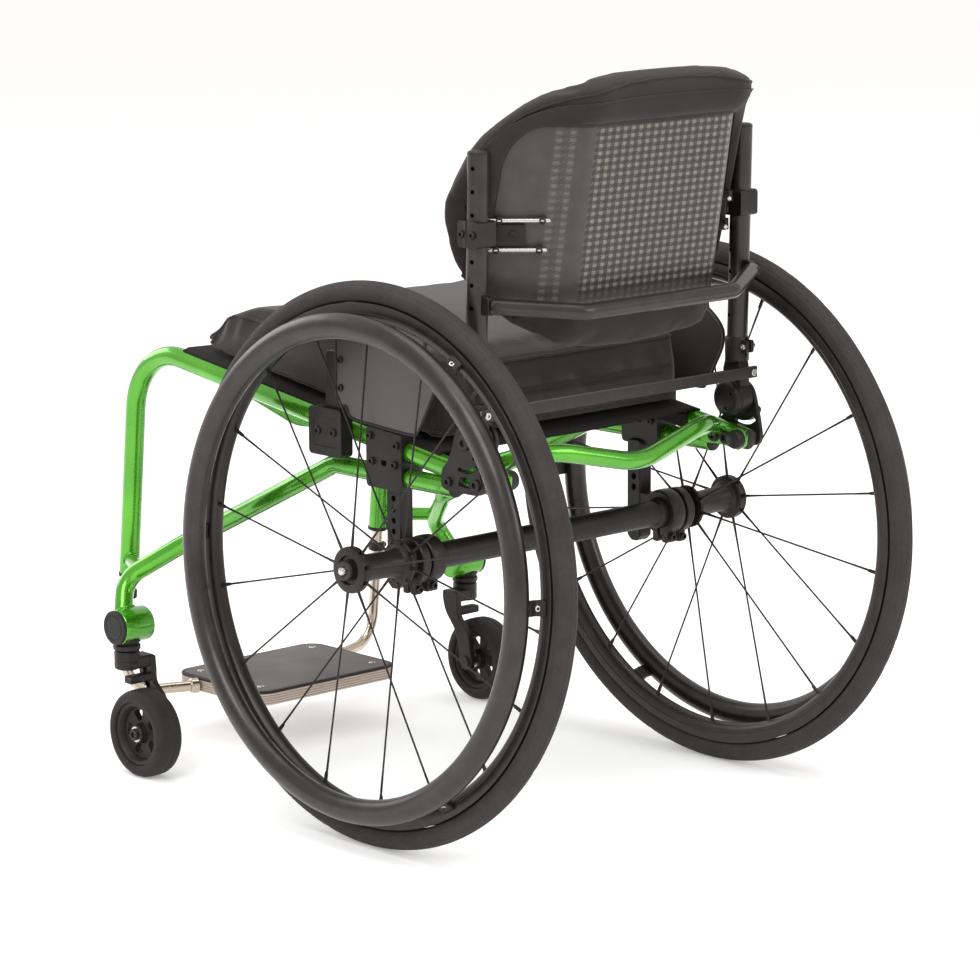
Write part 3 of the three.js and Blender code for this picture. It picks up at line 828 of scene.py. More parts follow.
def wheel(put, start):
    body = "wheel_*"
    put("tyre_*_tread", turned(tyre(), CORNER), TYRE, body, "tyre_*", crease=40)
    put("rim_*_hoop", turned(rim(), CORNER), ANODISED, body, "rim_*")
    put("hub_*_shell", turned(hub_shell(), CORNER), BLACK, body, "hub_and_spokes_*",
        cut=laced(spoke_pocket, start - 90))
    put("spokes_*", laced(spoke, start), BLACK, body)
    put("nipples_*", laced(nipple, start), BLACK, body)
    put("handrim_*_ring", turned(handrim(), CORNER), COATED, body, "handrim_*")
    tabs = ring_of(handrim_tab(), 6, 30)
    put("handrim_*_tabs", turned(tabs, CORNER), BLACK, body, edge=0.6)
    screw = bolt(vec(17, 0, 265), vec(0.5, 0, 1), 3.2, 2.2)
    put("handrim_*_screws", turned(ring_of(screw, 6, 30), CORNER), SILVER, body)
    head = HUB_OUTER + PIN_PROUD
    bore = 4.9
    pin = lathe([
        (-76, 0), (-76, 5.4), (-75, 6.3), (HUB_OUTER - 0.3, 6.3), (HUB_OUTER + 0.1, 9.4),
        (HUB_OUTER + 0.9, 10.6), (head - 1.4, 10.6), (head - 0.4, 10), (head, 8.8), (head - 0.3, 6.2),
        (head - 0.9, bore), (HUB_OUTER - 4.4, bore), (HUB_OUTER - 4.4, 0)], 48)
    put("axle_pin_*_quick_release", turned(pin, CORNER), ANODISED, "frame", "axle_pin_*")
    tip = head + PIN_TRAVEL
    button = lathe([(HUB_OUTER, 0), (HUB_OUTER, 4.4), (tip - 1.6, 4.4), (tip - 0.5, 3.8), (tip, 2.6),
                    (tip - 0.3, 0)], 32)
    put("axle_button_*_plunger", turned(button, CORNER), SILVER, "button_*", "axle_button_*")


# ---- casters ---------------------------------------------------------------------------------
STEM = Matrix.Translation((CASTER_X, CASTER_Y, 0))
CASTER_AXLE = Matrix.Translation((CASTER_X, CASTER_Y + TRAIL, CASTER_RADIUS))


def caster_tyre():
    half = [(-14.6, 35.9), (-15.6, 36.2), (-16.6, 38.2), (-17, 40.5), (-16.6, 43.2), (-15, 46.2),
            (-12.4, 48.4), (-9, 49.6), (-4.4, 50), (-0.3, 50)]
    return lathe(mirrored(half, (0, 49.8)) + half[:1], 128)


def caster_core():
    """A dished disc with a deep felloe and a bearing boss."""
    half = [(-14, 5.2), (-14, 9.6), (-13, 10.4), (-6, 11), (-4.6, 12), (-4, 14), (-4, 26.5), (-5, 28.6),
            (-12.6, 31.2), (-13.6, 32.4), (-13.6, 35.5)]
    return lathe(mirrored(half) + half[:1], 80)


def caster_window():
    """A rounded opening between two spokes of the core."""
    outline = rounded([(14, -3.4), (25.6, -8.6), (27.2, 0), (25.6, 8.6), (14, 3.4)], 2.4)
    return prism([(b, a) for a, b in outline], -20, 20)


def fork_arm():
    """The single blade, swept back from the crown to the axle boss."""
    axle = TRAIL
    blade = curve_through([vec(0, y, z) for y, z in (
        (15.5, 132), (17, 118), (19, 102), (axle + 4, 86), (axle + 9, 62), (axle + 10.5, 50),
        (axle + 7.4, 42.6), (axle, 39.6), (axle - 7.4, 42.6), (axle - 10.5, 50), (axle - 12.5, 68),
        (axle - 20, 88), (-3, 106), (-8.6, 122), (-8.6, 133))], 5)
    return prism([(p.y, p.z) for p in blade], -29, -21)


def caster(put):
    swivel, roller = "swivel_*", "roller_*"
    put("caster_tyre_*_band", turned(caster_tyre(), CASTER_AXLE), CASTER_RUBBER, roller,
        "caster_tyre_*", crease=50)
    windows = turned(ring_of(caster_window(), 5, 18), CASTER_AXLE)
    put("caster_core_*_disc", turned(caster_core(), CASTER_AXLE), NYLON, roller,
        "caster_core_*", cut=windows, edge=0.5)
    bearing = lathe([(-14.3, 4.6), (-14.3, 8.8), (14.3, 8.8), (14.3, 4.6), (-14.3, 4.6)], 40)
    put("caster_bearing_*", turned(bearing, CASTER_AXLE), SILVER, roller)
    bore = moved(cylinder(-40, 0, 4.3, 32), 0, TRAIL, CASTER_RADIUS)
    pocket_outline = rounded([(1, 122), (9, 122), (14, 98), (TRAIL - 2, 76), (TRAIL - 6, 66),
                              (TRAIL - 12, 80), (4, 102)], 3)
    pocket = prism(pocket_outline, -24, -10)
    put("caster_fork_*_arm", turned(fork_arm(), STEM), BLACK, swivel, "caster_fork_*",
        cut=turned(joined(bore, pocket), STEM), edge=1.6)
    crown = lathe([(118.6, 0), (118.6, 12.4), (119.6, 14), (121, 14.6), (127, 14.6), (127.6, 14.1),
                   (128.6, 14.1), (129.2, 14.6), (138.4, 14.6), (139.6, 13.6), (139.6, 0)], 56)
    put("caster_crown_*", turned(upright(crown, 0, 0), STEM), BLACK, swivel)
    bridge = block(-28, -4, -8.4, 15, 119.5, 133.5, 3)
    put("caster_bridge_*", turned(bridge, STEM), BLACK, swivel, edge=2.2)
    lug = block(-22, 8, 4, 17, 103.5, 112.5, 2.4)
    put("caster_lug_*", turned(lug, STEM), BLACK, swivel, edge=1.4)
    shaft = lathe([(-31.5, 0), (-31.5, 6.4), (-29.6, 7.2), (-29.2, 4), (14.5, 4), (14.8, 6.8),
                   (17.6, 6.8), (18.6, 5.8), (18.6, 3.2), (16.6, 2.8), (16.6, 0)], 36)
    put("caster_bolt_*_axle", turned(shaft, CASTER_AXLE), BLACK, swivel, "caster_bolt_*")


def caster_mount(put):
    """The frame's end of a caster: barrel, cap and the bearing housing under it."""
    low, high, radius = BARREL["inner"], BARREL["outer"] - 4.4, BARREL["radius"]
    shell = lathe([(low, 0), (low, radius - 2.6), (low + 0.8, radius - 0.9), (low + 2.6, radius),
                   (high - 1, radius), (high, radius - 1), (high, 0)], 72)
    put("caster_barrel_*_tube", moved(shell, 0, CASTER_Y, BARREL["z"]), GREEN, "frame", "caster_barrel_*")
    edge = BARREL["outer"]
    cap = lathe([(edge - 4.2, 0), (edge - 4.2, radius - 0.4), (edge - 1.4, radius - 0.4),
                 (edge - 0.5, radius - 1.4), (edge - 0.3, radius - 5), (edge - 0.9, radius - 5.6),
                 (edge - 0.9, radius - 6.4), (edge - 0.2, radius - 7), (edge, 0)], 64)
    put("caster_barrel_*_cap", moved(cap, 0, CASTER_Y, BARREL["z"]), NYLON)
    stack = lathe([(140.7, 0), (140.7, 13.6), (141.4, 15), (143, 15.6), (146.4, 15.6), (147.4, 14.6),
                   (147.8, 12.6), (149, 12.4), (149.6, 14.6), (150.6, 15.8), (153.4, 15.8), (154.4, 14.4),
                   (158, 12.6), (160, 0)], 56)
    put("stem_housing_*_stack", upright(stack, CASTER_X, CASTER_Y), BLACK, "frame", "stem_housing_*")


# ---- welded frame ----------------------------------------------------------------------------
RAIL_PATH = bent([vec(RAIL_X, RAIL_REAR, rail_z(RAIL_REAR)), vec(RAIL_X, RAIL_CORNER, rail_z(RAIL_CORNER)),
                  vec(RAIL_X, leg_y(LEG_FOOT), LEG_FOOT)], RAIL_BEND, 20)
LOWER_PATH = bent([vec(193, 62, LOWER_Z), vec(193, -130, LOWER_Z), vec(195, -382, 262), vec(236, -448, 214),
                   vec(252, -432, 178)], 34, 12)
GUSSET_X = RAIL_X - RAIL_R - 0.4


def bow(end, shoulder, middle, bend, steps):
    """A tube's path from side to side, given by its left end, left shoulder and middle."""
    right = [vec(-p.x, p.y, p.z) for p in (shoulder, end)]
    return bent([end, shoulder, middle] + right, bend, steps)


FRONT_Y = -285
FRONT_SHOULDER = vec(112, FRONT_Y, 404)
FRONT_BOW = bow(vec(RAIL_X - 6, FRONT_Y, 448), FRONT_SHOULDER, vec(0, FRONT_Y, 392), 60, 14)
REAR_BOW = bow(vec(GUSSET_X - 2, 78, 404), vec(122, 122, 423), vec(0, 140, 396), 110, 16)


def side_frame(put):
    put("seat_rail_*_tube", tube(RAIL_PATH, RAIL_R, 40), GREEN, "frame", "seat_rail_*")
    back = (RAIL_PATH[0] - RAIL_PATH[1]).normalized()
    plug = lathe([(-2, 0), (-2, RAIL_R - 2), (0, RAIL_R - 2), (0.1, RAIL_R - 0.2), (1.6, RAIL_R - 0.4),
                  (2.6, RAIL_R - 2.2), (3, 0)], 32)
    put("rail_plug_*", along(plug, RAIL_PATH[0], back), NYLON)
    put("lower_tube_*_run", tube(LOWER_PATH, LOWER_R, 36), GREEN, "frame", "lower_tube_*")
    low_plug = lathe([(-2, 0), (-2, 8), (0, 8), (0.1, 10.2), (1.8, 10), (2.6, 8), (2.8, 0)], 32)
    put("lower_plug_*", along(low_plug, LOWER_PATH[0], REARWARD), NYLON)
    bridge_start, bridge_end = vec(RAIL_X, leg_y(222), 222), vec(226, -434, 226)
    heading = (bridge_end - bridge_start).normalized()
    put("leg_bridge_*", tube([bridge_start + heading * 8, bridge_end], 8, 28, 0), GREEN)
    leg_line = vec(0, LEG_LEAN, 1)
    barrel = vec(0, CASTER_Y, BARREL["z"])
    beads = [
        saddle_weld(bridge_end, -heading, 8, bridge_start, leg_line, RAIL_R),
        saddle_weld(LOWER_PATH[-3], vec(16, 16, -36), LOWER_R, barrel, OUTWARD, BARREL["radius"], 2.0),
        saddle_weld(FRONT_SHOULDER, vec(79, 0, 46), CROSS_R, vec(RAIL_X, FRONT_Y, rail_z(FRONT_Y)),
                    vec(0, 1, -SEAT_SLOPE), RAIL_R),
    ]
    put("frame_welds_*", joined(*beads), GREEN)


def frame_tubes():
    build("front_cross_tube_bow", tube(FRONT_BOW, CROSS_R, 36, 0), GREEN, "frame", ["front_cross_tube"])
    build("rear_cross_tube_bow", tube(REAR_BOW, CROSS_R, 36, 0), GREEN, "frame", ["rear_cross_tube"])


def rear_gusset(put):
    """The green plate that ties the rear bow to the rail, with its bolts and end knob."""
    outline = rounded([(58, 392), (64, 386), (96, 387), (118, 384), (128, 390), (129, 402), (118, 409),
                       (98, 405), (78, 411), (60, 410)], 3)
    face = GUSSET_X - 5
    put("rear_gusset_*", prism(outline, face, GUSSET_X), GREEN, edge=1.2)
    places = [vec(face, 82, 396.5), vec(face, 100, 396)]
    heads = [bolt(place, INWARD, 6.4, 4.4) for place in places]
    rings = [washer(place, INWARD, 7.6, 1) for place in places]
    put("gusset_bolts_*", joined(*heads, *rings), BLACK)
    knob = lathe([(0, 0), (0, 9), (1, 10.4), (8, 10.6), (10.4, 9.6), (11.8, 7), (12.2, 0)], 36)
    put("gusset_knob_*", along(knob, vec(face + 1, 119, 397), INWARD), BLACK)


def rail_bore(rear, front):
    """A cutter along the seat rail, for what clamps round it."""
    return sweep([vec(RAIL_X, y, rail_z(y)) for y in (rear, front)], circle(RAIL_R + 0.2, 36))


# ---- axle ------------------------------------------------------------------------------------
def camber_tube():
    """The tube between the wheels: slimmer in its middle than in its clamps."""
    half, shoulder, slim = 207, 164, 14.2
    radius, inner = CAMBER_TUBE_R, 13
    end = [(-half, inner), (-half, radius - 0.8), (-half + 0.8, radius), (-shoulder, radius),
           (-shoulder + 3, slim)]
    shell = lathe(mirrored(end) + end[:1], 64)
    build("camber_tube_shell", moved(shell, 0, 0, CAMBER_TUBE_Z), BLACK, "frame", ["camber_tube"])


def ears(x0, x1, inner, outer, z0, z1):
    """The two lugs of a split ring, on either side of its slit."""
    return joined(block(x0, x1, -outer, -inner, z0, z1, 3), block(x0, x1, inner, outer, z0, z1, 3))


def camber_plug(put):
    face, end = -44.4, HUB_INNER - 0.6
    plug = lathe([(-74, 6.7), (-74, 12.8), (face, 12.8), (face + 0.1, 17.4), (face + 0.8, 18),
                  (end - 0.8, 18), (end, 17.2), (end, 6.7), (-74, 6.7)], 48)
    put("camber_plug_*", turned(plug, CORNER), BLACK)


def axle_post(put):
    """The rail clamp, the drilled post under it, and the collar round the camber tube."""
    top = rail_z(-36) + RAIL_R
    clamp_outline = rounded([(-64, 371), (-8, 371), (-8, top + 3.5), (-14, top + 4.5), (-58, top + 8),
                             (-64, top + 6)], 5)
    clamp = prism(clamp_outline, 176, 206.6)
    rail_hole = rail_bore(30, -110)
    low_hole = sweep([vec(193, 30, LOWER_Z), vec(193, -110, LOWER_Z)], circle(LOWER_R + 0.2, 36))
    slit = block(170, 210, -40, -32, 396, 402, 1.5)
    put("axle_post_*_clamp", clamp, BLACK, "frame", "axle_post_*",
        cut=joined(rail_hole, low_hole, slit), edge=1.4)
    column_outline = rounded([(-50.5, 266), (-44, 260), (-36, 260), (-29.5, 266), (-29.5, 376),
                              (-50.5, 376)], 4)
    column = prism(column_outline, 171.4, 189.6)
    holes = [moved(cylinder(160, 200, 3.1, 20), 0, -40, z) for z in (276, 322, 334, 346, 358)]
    rib = block(168, 173.5, -43.5, -36.5, 270, 312, 1.5)
    put("axle_post_*_column", column, BLACK, cut=joined(*holes, rib), edge=1.6)
    collar = lathe([(171, 17.3), (171, 23.4), (172.2, 25), (176, 25.6), (185, 25.6), (188.8, 25),
                    (190, 23.4), (190, 17.3), (171, 17.3)], 56)
    gap = block(165, 195, -2.2, 2.2, 270, 292, 1)
    put("axle_collar_*", moved(collar, 0, 0, CAMBER_TUBE_Z), BLACK, cut=gap, edge=0.8)
    neck = block(172, 189, -36, -14, 284, 316, 5)
    tube_hole = moved(cylinder(150, 210, 20, 48), 0, 0, CAMBER_TUBE_Z)
    put("axle_neck_*", neck, BLACK, cut=tube_hole, edge=2)
    put("axle_collar_ears_*", ears(173, 188, 3, 11.5, 264, 279), BLACK, edge=1)
    across = [bolt(vec(180.5, 11.4, 270.5), REARWARD, 4.2, 4)]
    outward = [bolt(vec(206.4, y, z), OUTWARD, 4.2, 3.6)
               for y, z in ((-54, 399), (-18, 399), (-57, 426), (-15, 420))]
    inward = [bolt(vec(176.2, y, z), INWARD, 4.0, 3.4) for y, z in ((-54, 399), (-18, 399))]
    put("axle_post_bolts_*", joined(*across, *outward, *inward), BLACK)


def camber_clamp(put):
    """The ring clamp at the end of the camber tube, closed by a bolt through its two ears."""
    ring = lathe([(193.4, 17.3), (193.4, 24), (194.6, 25.2), (203.4, 25.2), (204.6, 24), (204.6, 17.3),
                  (193.4, 17.3)], 56)
    split = block(190, 208, -1.6, 1.6, 262, 284, 0.8)
    put("camber_clamp_*_ring", moved(ring, 0, 0, CAMBER_TUBE_Z), BLACK, "frame",
        "camber_clamp_*", cut=split, edge=0.8)
    put("camber_clamp_*_ears", ears(194, 204, 1.8, 10, 262.6, 277.4), BLACK, edge=1)
    put("camber_clamp_*_bolt", bolt(vec(199, 10, 268.5), REARWARD, 4, 3.6), BLACK)


# ---- footrest --------------------------------------------------------------------------------
def plate_outline(inset):
    x, front, rear = PLATE_HALF - inset, PLATE_FRONT + inset, PLATE_REAR - inset
    return rounded([(-x, front), (x, front), (x, rear), (-x, rear)], 22 - inset, 10)


def footrest():
    """The layered board, its grip mat and lip, and what holds it to the foot tubes."""
    layers, plies = [], 6
    for i in range(plies):
        low = PLATE_BOTTOM + (PLATE_TOP - PLATE_BOTTOM) * i / plies
        high = PLATE_BOTTOM + (PLATE_TOP - PLATE_BOTTOM) * (i + 1) / plies
        for level, inset in ((low, 0.7), (low + 0.4, 0), (high - 0.4, 0)):
            layers.append([vec(x, y, level) for x, y in plate_outline(inset)])
    layers.append([vec(x, y, PLATE_TOP) for x, y in plate_outline(0.7)])
    build("footplate_board", skin(layers), BOARD, "footrest", ["footplate"])
    mat = prism(plate_outline(1.6), PLATE_TOP, PLATE_TOP + 2.9, "z")
    build("footplate_mat", mat, GRIT, "footrest", ["footplate_grip"], edge=1.1)
    lip = skin([[vec(x, y, z) for x, y in plate_outline(inset)] for inset, z in (
        (0.4, PLATE_TOP - 0.6), (-0.2, PLATE_TOP + 0.2), (-0.2, PLATE_TOP + 1.6), (0.6, PLATE_TOP + 2.6),
        (3.4, PLATE_TOP + 3.1), (5.2, PLATE_TOP + 2.6))])
    build("footplate_lip", lip, NYLON, "footrest")
    screws = [bolt(vec(x, y, PLATE_TOP + 2.6), UPWARD, 4.4, 1.2)
              for x in (-86, 86) for y in (PLATE_FRONT + 24, PLATE_REAR - 24)]
    build("footplate_screws", joined(*screws), SILVER, "footrest")
    saddles = [block(x - 8, x + 8, -474, -450, 49, 55.2, 2) for x in (-70, 70)]
    build("footplate_saddles", joined(*saddles), BLACK, "footrest", edge=1.2)


def foot_tube(put):
    path = bent([vec(RAIL_X, leg_y(300), 300), vec(RAIL_X, leg_y(FOOT_Z), FOOT_Z),
                 vec(PLATE_HALF + 0.4, -479.8, FOOT_Z)], 38, 18)
    put("foot_tube_*_bend", tube(path, FOOT_R, 32), TITANIUM, "footrest", "foot_tube_*")
    socket = lathe([(0, 0), (0, 8.2), (1, 9), (9, 9), (10.4, 8), (10.4, 0)], 32)
    end = path[-1]
    put("foot_socket_*", along(socket, end + vec(-0.5, 0, 0), path[-2] - end), TITANIUM, "footrest")


def leg_end(put):
    """The clamp at the bottom of a frame leg, and the stub that the foot tube slides in."""
    down = vec(0, -LEG_LEAN, -1)
    foot = vec(RAIL_X, leg_y(LEG_FOOT), LEG_FOOT)
    collar = lathe([(17, FOOT_R + 0.3), (17, 9), (18, 10), (26, 10.2), (27, 9.4), (27, FOOT_R + 0.3),
                    (17, FOOT_R + 0.3)], 40)
    put("leg_collar_*_ring", along(collar, foot, down), BLACK, "frame", "leg_collar_*")
    lip = lathe([(-3, FOOT_R + 0.8), (-3, RAIL_R + 0.7), (0.5, RAIL_R + 0.7), (1.6, RAIL_R - 1),
                 (2, FOOT_R + 0.8), (-3, FOOT_R + 0.8)], 40)
    put("leg_bush_*", along(lip, foot, down), NYLON)
    middle = foot + down.normalized() * 22
    put("leg_collar_screw_*", bolt(middle + OUTWARD * 9.4, OUTWARD, 3.2, 4), BLACK)


def sling():
    """The seat cloth: pulled between the rails with a light sag, and hemmed inside each rail."""
    rows = []
    half = SEAT_HALF
    for i in range(47):
        y = SEAT_FRONT + (SEAT_REAR - SEAT_FRONT) * i / 46
        top = []
        for k in range(49):
            x = -half + 2 * half * k / 48
            over = max(abs(x) - RAIL_X, 0)
            sag = 3.2 * (1 - (x / RAIL_X) ** 2) * (1 if abs(x) < RAIL_X else 0)
            top.append(vec(x, y, rail_z(y) + RAIL_R + 3.6 - sag - 0.5 * over))
        bottom = [p - vec(0, 0, 2.4) for p in reversed(top)]
        rows.append(top + bottom)
    cloth = build("seat_sling_cloth", skin(rows), SLING, "frame", ["seat_sling"], crease=60)
    inner, first, last = RAIL_X - RAIL_R - 2, -262, SEAT_REAR - 4
    for name, side in SIDES.items():
        outline = [(first, rail_z(first) - 9), (last, rail_z(last) - 9), (last, rail_z(last) + 12),
                   (first, rail_z(first) + 12)]
        hem_form = prism(outline, inner, inner + 1.6)
        build(f"sling_hem_{name}", hem_form, SLING, "frame", (), side, edge=0.5)


def under_straps():
    """Webbing that tightens the sling, slung under it from rail to rail."""
    width, thick = 38, 1.8
    half = RAIL_X - RAIL_R - 1
    for number, y in enumerate((-352, -226, -180, 14), 1):
        rings = []
        for i in range(25):
            t = 2 * i / 24 - 1
            level = rail_z(y) + 2 + 5 * (1 - t * t) ** 0.5 if abs(t) < 1 else rail_z(y) + 2
            middle = vec(half * t, y, level)
            rings.append([middle + vec(0, a, b) for a, b in (
                (-width / 2, 0), (width / 2, 0), (width / 2, thick), (-width / 2, thick))])
        strap = build(f"seat_strap_{number}", skin(rings), WEBBING, "frame")


CUSHION_HALF = 183


def cushion_outline():
    """The cushion's side view: flat base on the sling, raised rear, and a sloping nose."""
    return [(-362, rail_z(-362) + 20), (-180, rail_z(-180) + 19.5), (24, rail_z(24) + 19.5), (26, 466),
            (24, 503), (14, 509), (-150, 520), (-312, 527), (-332, 524), (-352, 508), (-370, 494)]


def soft_solid(name, form, voxel):
    """A closed form turned into an even mesh for cloth."""
    obj = make_object(name, form)
    remesh = obj.modifiers.new("even", "REMESH")
    remesh.mode = "VOXEL"
    remesh.voxel_size = voxel * MM
    settle(obj)
    return obj


def inflate(obj, pressure, cap, held=None):
    """Blows a closed mesh up as cloth, and limits how far any point moves."""
    start = [v.co.copy() for v in obj.data.vertices]
    if held:
        group = obj.vertex_groups.new(name="held")
        group.add([i for i, co in enumerate(start) if held(co)], 1.0, "REPLACE")
    cloth = obj.modifiers.new("cloth", "CLOTH")
    settings = cloth.settings
    settings.use_pressure = True
    settings.uniform_pressure_force = pressure
    settings.effector_weights.gravity = 0
    settings.tension_stiffness = 25
    settings.compression_stiffness = 25
    settings.bending_stiffness = 4
    if held:
        settings.vertex_group_mass = "held"
    cloth.point_cache.frame_end = 20
    scene = bpy.context.scene
    for number in range(1, 21):
        scene.frame_set(number)
    settle(obj)
    scene.frame_set(1)
    for vertex, first in zip(obj.data.vertices, start):
        shift = vertex.co - first
        if shift.length > cap * MM:
            vertex.co = first + shift * (cap * MM / shift.length)


def relaxed(obj, rounds):
    """Evens a mesh out a little."""
    mod = obj.modifiers.new("relax", "SMOOTH")
    mod.iterations = rounds
    settle(obj)


def subdivided(obj):
    mod = obj.modifiers.new("finer", "SUBSURF")
    mod.levels = mod.render_levels = 1
    settle(obj)


def surface_tree(obj):
    graph = bpy.context.evaluated_depsgraph_get()
    return BVHTree.FromObject(obj, graph)


def on_surface(tree, point, proud):
    """The nearest place on a mesh to a point in millimetres, raised by proud millimetres."""
    world = vec(point.x * MM, point.y * MM + AXLE_Y, point.z * MM)
    spot, normal, _, _ = tree.find_nearest(world)
    spot = spot + normal * proud * MM
    return vec(spot.x / MM, (spot.y - AXLE_Y) / MM, spot.z / MM)


def piping(tree, route, radius, proud, closed=False):
    """A cord sewn along a route on a soft surface."""
    return sweep([on_surface(tree, p, proud) for p in route], circle(radius, 10), closed=closed)


def cushion():
    half = CUSHION_HALF - 3
    outline = rounded(cushion_outline(), 6, 4)
    inner = [vec(0, (y + 170) * 0.985 - 170, z) for y, z in outline]
    rows = []
    middle = vec(0, -165, 480)
    for x, shrink in ((-half, 5), (-half + 2, 1.6), (-half + 7, 0), (half - 7, 0), (half - 2, 1.6),
                      (half, 5)):
        rows.append([vec(x, 0, 0) + p + (middle - p).normalized() * shrink for p in inner])
    obj = soft_solid("seat_cushion_cover", skin(rows), 5)
    inflate(obj, 3.5, 7, lambda co: co.z < (rail_z((co.y - AXLE_Y) / MM) + 22) * MM)
    relaxed(obj, 3)
    subdivided(obj)
    floor = RAIL_R + 6.5
    for vertex in obj.data.vertices:
        y = (vertex.co.y - AXLE_Y) / MM
        vertex.co.z = max(vertex.co.z, (rail_z(y) + floor) * MM)
    smooth(obj.data, 60)
    dress(obj, CUSHION, "frame", ["seat_cushion"])
    tree = surface_tree(obj)
    upper = [(25, 503), (14, 510), (-150, 521), (-312, 528), (-332, 525), (-352, 509), (-370, 495)]
    lower = [(26, 434), (-180, 458), (-362, 488)]
    forms = []
    for side in (LEFT, RIGHT):
        for route in (upper, lower):
            path = curve_through([vec(side * (half + 1), y, z) for y, z in route], 14)
            forms.append(piping(tree, path, 1.5, 0.6))
    for y, z in ((25, 505), (26, 432), (-371, 495)):
        path = [vec(-half + 2 * half * i / 60, y, z) for i in range(61)]
        forms.append(piping(tree, path, 1.5, 0.6))
    build("cushion_piping", joined(*forms), CUSHION, "frame")
    zipper = [vec(-half + 14 + (2 * half - 28) * i / 50, 27, 470) for i in range(51)]
    tape = sweep([on_surface(tree, p, 0.4) for p in zipper], [(-0.5, -4), (0.5, -4), (0.5, 4), (-0.5, 4)])
    build("cushion_zip_tape", tape, WEBBING, "frame")


# ---- side guards -----------------------------------------------------------------------------
def side_guard(put):
    low, high = 213, 216
    body = "guard_*"
    outline = curve_through([vec(y, z, 0) for y, z in (
        (-99, 458), (-84, 455), (-76, 444), (-40, 440.6), (18, 437.6), (30, 443), (43, 465), (55, 490),
        (52, 511), (22, 533), (-28, 544.4), (-78, 544.4), (-98, 537), (-100, 500))], 5, closed=True)
    panel = prism([(p.x, p.y) for p in outline], low, high)
    put("side_guard_*_panel", panel, TWILL, body, "side_guard_*", edge=1.1)
    rim_path = [vec(216, p.x, p.y) for p in outline]
    bead = sweep(rim_path, circle(1.5, 10), closed=True)
    put("side_guard_*_edging", bead, NYLON, body)
    post = prism(rounded([(-121.6, 404.5), (-96.4, 404.5), (-96.4, 511.6), (-121.6, 511.6)], 9),
                 207.6, 213)
    put("side_guard_*_post", post, BLACK, body, edge=1.3)
    heads = [bolt(vec(216, y, z), OUTWARD, 4, 2.2) for y, z in ((-93, 474), (-93, 504))]
    rivets = [bolt(vec(212.8, y, z), INWARD, 3.6, 1.6) for y, z in ((-110, 470), (-110, 498))]
    put("side_guard_*_screws", joined(*heads, *rivets), BLACK, body)


def guard_receiver(put):
    outer = prism(rounded([(-142, 398), (-89, 398), (-89, 450), (-142, 450)], 5), 203, 220)
    slot_cut = block(206.9, 216.9, -122.6, -95.4, 402, 470, 2)
    rail_cut = rail_bore(-60, -180)
    relief_cut = block(218.6, 224, -136, -95, 408, 440, 4)
    put("guard_receiver_*_body", outer, BLACK, "frame", "guard_receiver_*",
        cut=joined(slot_cut, rail_cut, relief_cut), edge=1.4)
    heads = [bolt(vec(218.4, y, 424), OUTWARD, 4.6, 2.6) for y in (-128, -103)]
    put("guard_receiver_*_bolts", joined(*heads), BLACK)


# ---- back ------------------------------------------------------------------------------------
def back_bracket(put):
    """The cast plate bolted to the rail's end, with the angle slot and the pivot pin."""
    low, high = 204.3, 209.3
    outline = curve_through([vec(y, z, 0) for y, z in (
        (60, 386), (92, 384), (116, 385.5), (123, 394), (121, 410), (116, 430), (110, 447), (100, 455),
        (88, 455), (79, 446), (73, 428), (66, 414), (58, 404))], 5, closed=True)
    plate = prism([(p.x, p.y) for p in outline], low, high)
    hole = moved(cylinder(190, 220, 5.6, 28), 0, HINGE_Y, HINGE_Z)
    slot_path = [vec(207, HINGE_Y + 30 * sin(radians(angle)), HINGE_Z - 30 * cos(radians(angle)))
                 for angle in range(-20, 41, 6)]
    slot_cut = sweep(slot_path, [(a * 1.4, c) for a, c in circle(3.2, 16)])
    window = prism(rounded([(84, 392), (104, 391), (101, 402), (88, 402)], 2.5), 190, 220)
    put("back_bracket_*_plate", plate, BLACK, "frame", "back_bracket_*",
        cut=joined(hole, slot_cut, window), edge=1.2)
    inset = [(HINGE_Y + (p.x - HINGE_Y) * 0.84, 420 + (p.y - 420) * 0.84) for p in outline]
    rim_plate = prism(inset, high - 0.4, high + 1.2)
    put("back_bracket_*_web", rim_plate, BLACK, cut=joined(hole, slot_cut, window), edge=0.7)
    pin = lathe([(177.2, 0), (177.2, 15.4), (178.2, 17.6), (180, 19.2), (184, 19.4), (185, 18.6),
                 (185.2, 5.2), (211.4, 5.2), (211.6, 8), (213.2, 8), (214, 7.2), (214, 3.6), (211.8, 3.4),
                 (211.8, 0)], 48)
    dimples = joined(*[moved(cylinder(170, 179.2, 2, 16),
                             0, HINGE_Y + 10.5 * cos(a), HINGE_Z + 10.5 * sin(a)) for a in (0.6, 2.7, 4.8)])
    put("back_pivot_*", moved(pin, 0, HINGE_Y, HINGE_Z), BLACK, cut=dimples, edge=0.4)
    heads = [bolt(vec(210.2, y, z), OUTWARD, radius, 3.4)
             for y, z, radius in ((70, 394, 5), (112, 396, 6), (112, 424, 4.2))]
    put("back_bracket_*_bolts", joined(*heads), BLACK)


